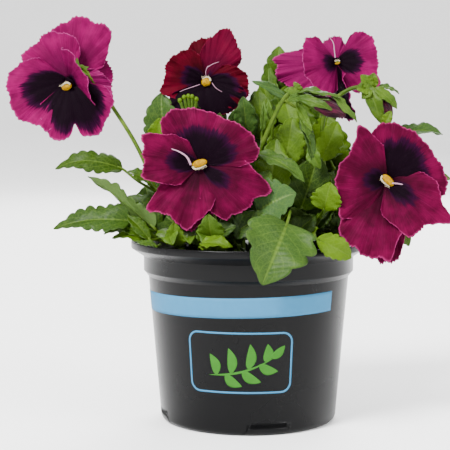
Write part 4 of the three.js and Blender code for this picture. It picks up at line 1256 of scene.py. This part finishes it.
def young_leaves():
    """Short-stalked young leaves that cover the soil in three tiers."""
    form = Form()
    rng = random.Random("young leaves")
    for i in range(YOUNG_LEAVES):
        angle = 2 * math.pi * (i + rng.uniform(-0.3, 0.3)) / YOUNG_LEAVES * 3
        ring = i % 3
        away = np.array((math.sin(angle), -math.cos(angle), 0))
        root = away * rng.uniform(3, 16) + np.array((2, 0, ROOT_Z + 4))
        lift = min(YOUNG_TIERS[ring] + rng.uniform(-5, 5), 60 + 50 * away[1])
        base = root + away * rng.uniform(10, 17) + np.array((0, 0, lift - 4))
        tip = base + away * rng.uniform(9, 15)
        tip = tip + np.array((rng.uniform(-6, 6), rng.uniform(-6, 6), rng.uniform(0, 10)))
        face = away * rng.uniform(0.3, 0.9) + np.array((0, 0, 0.8))
        width, turn = rng.uniform(10, 15), rng.uniform(0, 6)
        own = leaf_of(tuple(root), tuple(base), tuple(tip), tuple(face), width, turn=turn)
        # Their low brightness is painted shade under the crown.
        leaf(form, own, (rng.uniform(0.1, 0.5), rng.uniform(0, 0.4)), rng.random())
    finish_piece(form.build("young_leaves", LEAF), "leaf")


# ---------------------------------------------------------------- materials


def rgb(red, green, blue):
    """A screen colour from 0 to 255 as linear shader values, kept deep because the lights are strong."""
    linear = [(c / 255 / 12.92) if c < 11 else ((c / 255 + 0.055) / 1.055) ** 2.4 for c in (red, green, blue)]
    return (*(PAINT_DEPTH * value for value in linear), 1)


class Paint:
    """A procedural material round one Principled shader."""

    def __init__(self, name, **settings):
        self.material = bpy.data.materials.new(name)
        self.material.use_nodes = True
        self.tree = self.material.node_tree
        self.shader = self.tree.nodes["Principled BSDF"]
        self.shader.inputs["Specular IOR Level"].default_value = PAINT_GLOSS
        for socket, value in settings.items():
            self.shader.inputs[socket.replace("_", " ")].default_value = value

    def node(self, kind, inputs=(), output=0, **settings):
        """Adds a shader node and gives one of its outputs."""
        node = self.tree.nodes.new(kind)
        for key, value in settings.items():
            setattr(node, key, value)
        for socket, value in dict(inputs).items():
            self.put(node.inputs[socket], value)
        return node.outputs[output]

    def put(self, socket, value):
        """Fills a socket with a link or with a plain value."""
        if isinstance(value, bpy.types.NodeSocket):
            self.tree.links.new(value, socket)
        else:
            socket.default_value = value

    def math(self, operation, first, second=0.0):
        """One sum on two values."""
        return self.node("ShaderNodeMath", {0: first, 1: second}, operation=operation)

    def times(self, first, second):
        """The product of two values."""
        return self.math("MULTIPLY", first, second)

    def plus(self, first, second):
        """The sum of two values."""
        return self.math("ADD", first, second)

    def minus(self, first, second):
        """The first value less the second."""
        return self.math("SUBTRACT", first, second)

    def mix(self, factor, first, second):
        """A blend from the first colour to the second."""
        return self.node("ShaderNodeMix", {0: factor, 6: first, 7: second}, 2, data_type="RGBA")

    def ease(self, value, low, high, bottom=0.0, top=1.0):
        """A smooth step from bottom to top as the value goes from low to high."""
        inputs = {"Value": value, "From Min": low, "From Max": high, "To Min": bottom, "To Max": top}
        return self.node("ShaderNodeMapRange", inputs, interpolation_type="SMOOTHSTEP")

    def noise(self, vector, scale, detail=2.0, roughness=0.5):
        """Cloudy noise from 0 to 1."""
        inputs = {"Vector": vector, "Scale": scale, "Detail": detail, "Roughness": roughness}
        return self.node("ShaderNodeTexNoise", inputs)

    def place(self):
        """The place on the piece."""
        return self.node("ShaderNodeTexCoord", output="Object")

    def parts(self, name):
        """The separate values painted at the points under a name: three, and the fourth for a colour."""
        painted = self.tree.nodes.new("ShaderNodeAttribute")
        painted.attribute_name = name
        split = self.tree.nodes.new("ShaderNodeSeparateXYZ")
        self.tree.links.new(painted.outputs["Vector"], split.inputs[0])
        return (*split.outputs, painted.outputs["Alpha"])

    def vector(self, x, y, z):
        """Three values as one vector."""
        return self.node("ShaderNodeCombineXYZ", {0: x, 1: y, 2: z})

    def bump(self, height, strength, distance):
        """Gives the surface a fine relief."""
        inputs = {"Height": height, "Strength": strength, "Distance": distance}
        self.put(self.shader.inputs["Normal"], self.node("ShaderNodeBump", inputs))

    def colour(self, value):
        """Sets the surface colour and gives the finished material."""
        self.put(self.shader.inputs["Base Color"], value)
        return self.material


def petal_paint(name, deep, middle, bright, back, rim):
    """Velvet with radial veins, a feathered dark blotch, a pale crimped rim and a paler, veined back. The
    front darkens towards the centre, partly its own colour and partly painted shade, and takes paler mottled
    patches towards the edge, partly random tone and partly painted sheen.
    """
    paint = Paint(name, Roughness=0.65, Sheen_Weight=0.012, Sheen_Roughness=0.4, Sheen_Tint=bright)
    paint.shader.inputs["Specular IOR Level"].default_value = 0.025
    angle, radius, side, _ = paint.parts("span")
    reach, width, shade, seed = paint.parts("look")
    far = paint.times(seed, 57.0)

    def rays(count, stretch):
        along = paint.times(radius, stretch)
        return paint.noise(paint.vector(paint.times(angle, count), along, far), 1.0)

    broad, narrow, hair = rays(4.0, 2.0), rays(26.0, 2.2), rays(60.0, 2.0)
    mottled = paint.noise(paint.place(), 120.0, 3.0)
    # Painted shade and sheen on top of the petal's own colour: deep at the throat to middle at the edge, with
    # paler mottled patches growing towards the edge.
    base = paint.mix(paint.ease(radius, 0.1, 1.05), deep, middle)
    sheen_and_tone_patches = paint.times(paint.ease(mottled, 0.35, 0.7), paint.ease(radius, 0.2, 0.95))
    base = paint.mix(sheen_and_tone_patches, base, bright)
    base = paint.mix(paint.ease(narrow, 0.5, 0.74, 0.0, 0.24), base, deep)
    base = paint.mix(paint.ease(hair, 0.56, 0.7, 0.0, 0.1), base, rim)
    base = paint.mix(paint.ease(shade, 0.0, 1.0), base, VELVET_BLACK)
    base = paint.mix(paint.ease(shade, 0.0, -1.0, 0.0, 0.85), base, back)
    share = paint.math("DIVIDE", angle, width)
    bend = paint.times(paint.times(share, share), 0.45)
    limit = paint.times(reach, paint.minus(1.0, bend))
    for streaks, much in ((broad, 0.22), (narrow, 0.2), (hair, 0.1)):
        limit = paint.plus(limit, paint.times(paint.minus(streaks, 0.5), much))
    inside = paint.minus(limit, radius)
    present = paint.ease(reach, 0.02, 0.1)
    base = paint.mix(paint.times(paint.ease(inside, -0.06, 0.03), present), base, BLOTCH_PURPLE)
    base = paint.mix(paint.times(paint.ease(inside, 0.02, 0.16), present), base, VELVET_BLACK)
    crimped = paint.times(paint.ease(radius, 0.968, 1.0), paint.ease(hair, 0.35, 0.6, 0.25, 0.9))
    base = paint.mix(crimped, base, rim)
    veined = paint.mix(paint.ease(narrow, 0.5, 0.62, 0.0, 0.45), back, rim)
    paint.bump(narrow, 0.3, 0.0006)
    return paint.colour(paint.mix(paint.times(side, 0.85), base, veined))


def leaf_paint():
    """Leaf skin with veins, a fine net and a duller underside, and the plainer green of stems, with painted
    light and shade: each leaf darker where it lies in shade and brighter where it glows lit from behind.
    """
    paint = Paint("leaf_skin", Roughness=0.46)
    paint.shader.inputs["Specular IOR Level"].default_value = 0.08
    across, along, side, _ = paint.parts("span")
    painted_light_and_tone, greyness, stalk, seed = paint.parts("look")
    mottled = paint.noise(paint.place(), 140.0, 4.0, 0.6)
    # Painted light and shade: each leaf's brightness is low for leaves in shade and high for leaves lit from
    # behind, with random mottling on top.
    tone = paint.plus(painted_light_and_tone, paint.times(paint.minus(mottled, 0.5), 0.55))
    base = paint.mix(paint.ease(tone, 0.0, 0.55), rgb(10, 24, 0), rgb(42, 68, 0))
    base = paint.mix(paint.ease(tone, 0.5, 1.0), base, rgb(84, 116, 0))
    base = paint.mix(paint.times(greyness, 0.8), base, rgb(62, 94, 50))
    off = paint.math("ABSOLUTE", across)
    run = paint.minus(paint.times(along, 6.0), paint.times(off, 2.6))
    wave = paint.math("COSINE", paint.times(run, 2 * math.pi))
    side_vein = paint.times(paint.ease(wave, 0.93, 1.0), paint.ease(off, 0.95, 0.6))
    mid_vein = paint.ease(off, 0.07, 0.02)
    vein = paint.math("MAXIMUM", paint.times(side_vein, 0.7), mid_vein)
    vein = paint.times(vein, 0.45)
    cells = {"Vector": paint.place(), "Scale": 620.0}
    net = paint.node("ShaderNodeTexVoronoi", cells, feature="DISTANCE_TO_EDGE")
    vein = paint.math("MAXIMUM", vein, paint.ease(net, 0.09, 0.0, 0.0, 0.22))
    blade_colour = paint.mix(vein, base, rgb(112, 140, 50))
    under = paint.mix(0.5, blade_colour, rgb(92, 116, 58))
    blade_colour = paint.mix(side, blade_colour, under)
    stem = paint.mix(paint.ease(mottled, 0.4, 0.7), rgb(62, 90, 16), rgb(100, 124, 40))
    paint.bump(paint.minus(net, vein), 0.16, 0.0005)
    return paint.colour(paint.mix(paint.ease(stalk, 0.0, 1.0), blade_colour, stem))


def eye_paint():
    """Pollen yellow, with a green knob, white hairs and pale folds."""
    paint = Paint("eye_pollen", Roughness=0.55)
    green, hair, fold, _ = paint.parts("look")
    grain = paint.noise(paint.place(), 900.0, 3.0)
    base = paint.mix(paint.ease(grain, 0.4, 0.62), rgb(160, 114, 0), rgb(184, 142, 0))
    base = paint.mix(green, base, rgb(106, 124, 14))
    base = paint.mix(hair, base, rgb(206, 194, 164))
    base = paint.mix(fold, base, rgb(190, 146, 168))
    paint.bump(grain, 0.4, 0.0004)
    return paint.colour(base)


def bud_paint():
    """Dark plum with streaks, and olive at the base."""
    paint = Paint("bud_plum", Roughness=0.5, Sheen_Weight=0.04)
    paint.shader.inputs["Specular IOR Level"].default_value = 0.1
    around, along, _, _ = paint.parts("span")
    far = paint.vector(paint.times(around, 9.0), paint.times(along, 2.0), 0.0)
    streak = paint.noise(far, 1.6, 3.0)
    base = paint.mix(paint.ease(streak, 0.35, 0.7), rgb(26, 0, 12), rgb(86, 8, 44))
    base = paint.mix(paint.ease(along, 0.25, 0.0, 0.0, 0.5), base, rgb(84, 66, 30))
    paint.bump(streak, 0.3, 0.0004)
    return paint.colour(base)


def plastic_paint():
    """Black moulded plastic with a soft shine."""
    paint = Paint("pot_satin", Roughness=0.3)
    paint.shader.inputs["Specular IOR Level"].default_value = 0.1
    cloud = paint.noise(paint.place(), 35.0, 3.0)
    grain = paint.noise(paint.place(), 2600.0, 2.0)
    paint.put(paint.shader.inputs["Roughness"], paint.ease(cloud, 0.2, 0.8, 0.22, 0.3))
    paint.bump(grain, 0.08, 0.0001)
    return paint.colour(paint.mix(cloud, rgb(10, 10, 11), rgb(14, 14, 15)))


def print_paint():
    """Matt ink in pale blue and green."""
    paint = Paint("print_ink", Roughness=0.5)
    green, _, _, _ = paint.parts("look")
    cloud = paint.noise(paint.place(), 300.0, 3.0)
    blue = paint.mix(cloud, rgb(66, 138, 182), rgb(76, 146, 190))
    leafy = paint.mix(cloud, rgb(56, 120, 40), rgb(68, 136, 46))
    return paint.colour(paint.mix(green, blue, leafy))


def soil_paint():
    """Dark crumbly soil with pale grains."""
    paint = Paint("soil_peat", Roughness=0.95)
    grain, _, _, _ = paint.parts("look")
    cloud = paint.noise(paint.place(), 420.0, 5.0, 0.7)
    base = paint.mix(paint.ease(cloud, 0.35, 0.65), rgb(28, 19, 13), rgb(78, 56, 40))
    base = paint.mix(paint.ease(grain, 0.6, 1.0), base, rgb(196, 188, 172))
    paint.bump(cloud, 0.8, 0.001)
    return paint.colour(base)


VELVET_BLACK = rgb(12, 0, 10)
BLOTCH_PURPLE = rgb(36, 0, 32)
PETAL = {
    "magenta": petal_paint(
        "magenta_velvet", rgb(34, 0, 14), rgb(74, 0, 34), rgb(106, 0, 54), rgb(98, 0, 58), rgb(176, 52, 116)
    ),
    "rose": petal_paint(
        "rose_velvet", rgb(70, 0, 42), rgb(110, 0, 64), rgb(136, 0, 82), rgb(124, 10, 78), rgb(182, 64, 132)
    ),
    "crimson": petal_paint(
        "crimson_velvet", rgb(30, 0, 6), rgb(68, 0, 14), rgb(92, 0, 26), rgb(98, 0, 48), rgb(120, 14, 48)
    ),
}
LEAF = leaf_paint()
EYE = eye_paint()
BUD = bud_paint()
PLASTIC = plastic_paint()
PRINT = print_paint()
SOIL = soil_paint()

# ---------------------------------------------------------------- the whole plant

pot()
stripe()
emblem()
soil()
for stem_name, stem_spec in STEMS.items():
    leafy_stem(stem_name, stem_spec)
inner_leaves()
young_leaves()
for bloom_name, bloom_spec in BLOOMS.items():
    bloom(bloom_name, bloom_spec)
    bloom_eye(bloom_name, bloom_spec)
for bud_name, bud_spec in BUDS.items():
    bud(bud_name, bud_spec)

# ---------------------------------------------------------------- floor, light and camera


def stage_floor():
    """A wide pale floor that curves up into a pale wall all round, so that no edge shows behind the pot."""
    reach, sides = FLOOR_REACH, FLOOR_SIDES
    profile = [(2, 0), (reach / 2, 0), (reach, 0)]
    bend = np.linspace(0.1, math.pi / 2, 16)
    profile += [(reach + reach * math.sin(a), reach - reach * math.cos(a)) for a in bend]
    form = Form()
    turns = np.linspace(0, 2 * math.pi, sides, endpoint=False)
    rings = [np.column_stack([r * np.cos(turns), r * np.sin(turns), np.full(sides, z)]) for r, z in profile]
    index = np.arange(len(rings) * sides).reshape(len(rings), sides)
    beside = np.roll(index, -1, axis=1)
    faces = np.column_stack([
        index[1:].ravel(), beside[1:].ravel(), beside[:-1].ravel(), index[:-1].ravel(),
    ]).tolist()
    faces.append(index[0].tolist())
    form.add(np.vstack(rings), faces, np.zeros((index.size, 3)), (0, 0, 0, 0))
    paint = Paint("studio_white", Roughness=0.9)
    cloud = paint.noise(paint.place(), 3.0)
    form.build(
        "studio_floor", paint.colour(paint.mix(cloud, (0.84, 0.84, 0.84, 1), (0.87, 0.87, 0.87, 1)))
    )


def soft_light(name, place, target, size, energy):
    """A lamp turned to a target."""
    lamp = bpy.data.lights.new(name, "AREA")
    lamp.shape = "DISK"
    lamp.size = size
    lamp.energy = energy
    holder = bpy.data.objects.new(name, lamp)
    holder.location = place
    holder.rotation_euler = (Vector(target) - Vector(place)).to_track_quat("-Z", "Y").to_euler()
    bpy.context.scene.collection.objects.link(holder)


stage_floor()
soft_light("key", (-0.9, -1.2, 1.5), (0, 0, 0.1), 0.7, 145)
soft_light("fill", (1.4, -0.9, 0.8), (0, 0, 0.1), 0.9, 30)
soft_light("rim", (0.3, 1.5, 1.3), (0, 0, 0.1), 1.2, 78)
world = bpy.data.worlds.new("studio")
world.use_nodes = True
world.node_tree.nodes["Background"].inputs["Color"].default_value = (1, 1, 1, 1)
world.node_tree.nodes["Background"].inputs["Strength"].default_value = 1.35
bpy.context.scene.world = world

lens = bpy.data.cameras.new("view")
lens.sensor_width = SENSOR
lens.lens = VIEW_FOCUS / VIEW_WIDTH * SENSOR
camera = bpy.data.objects.new("view", lens)
camera.location = VIEW_PLACE
camera.rotation_euler = (math.radians(90 - VIEW_DOWN), 0, math.atan(VIEW_ASIDE / VIEW_FOCUS))
bpy.context.scene.collection.objects.link(camera)
bpy.context.scene.camera = camera
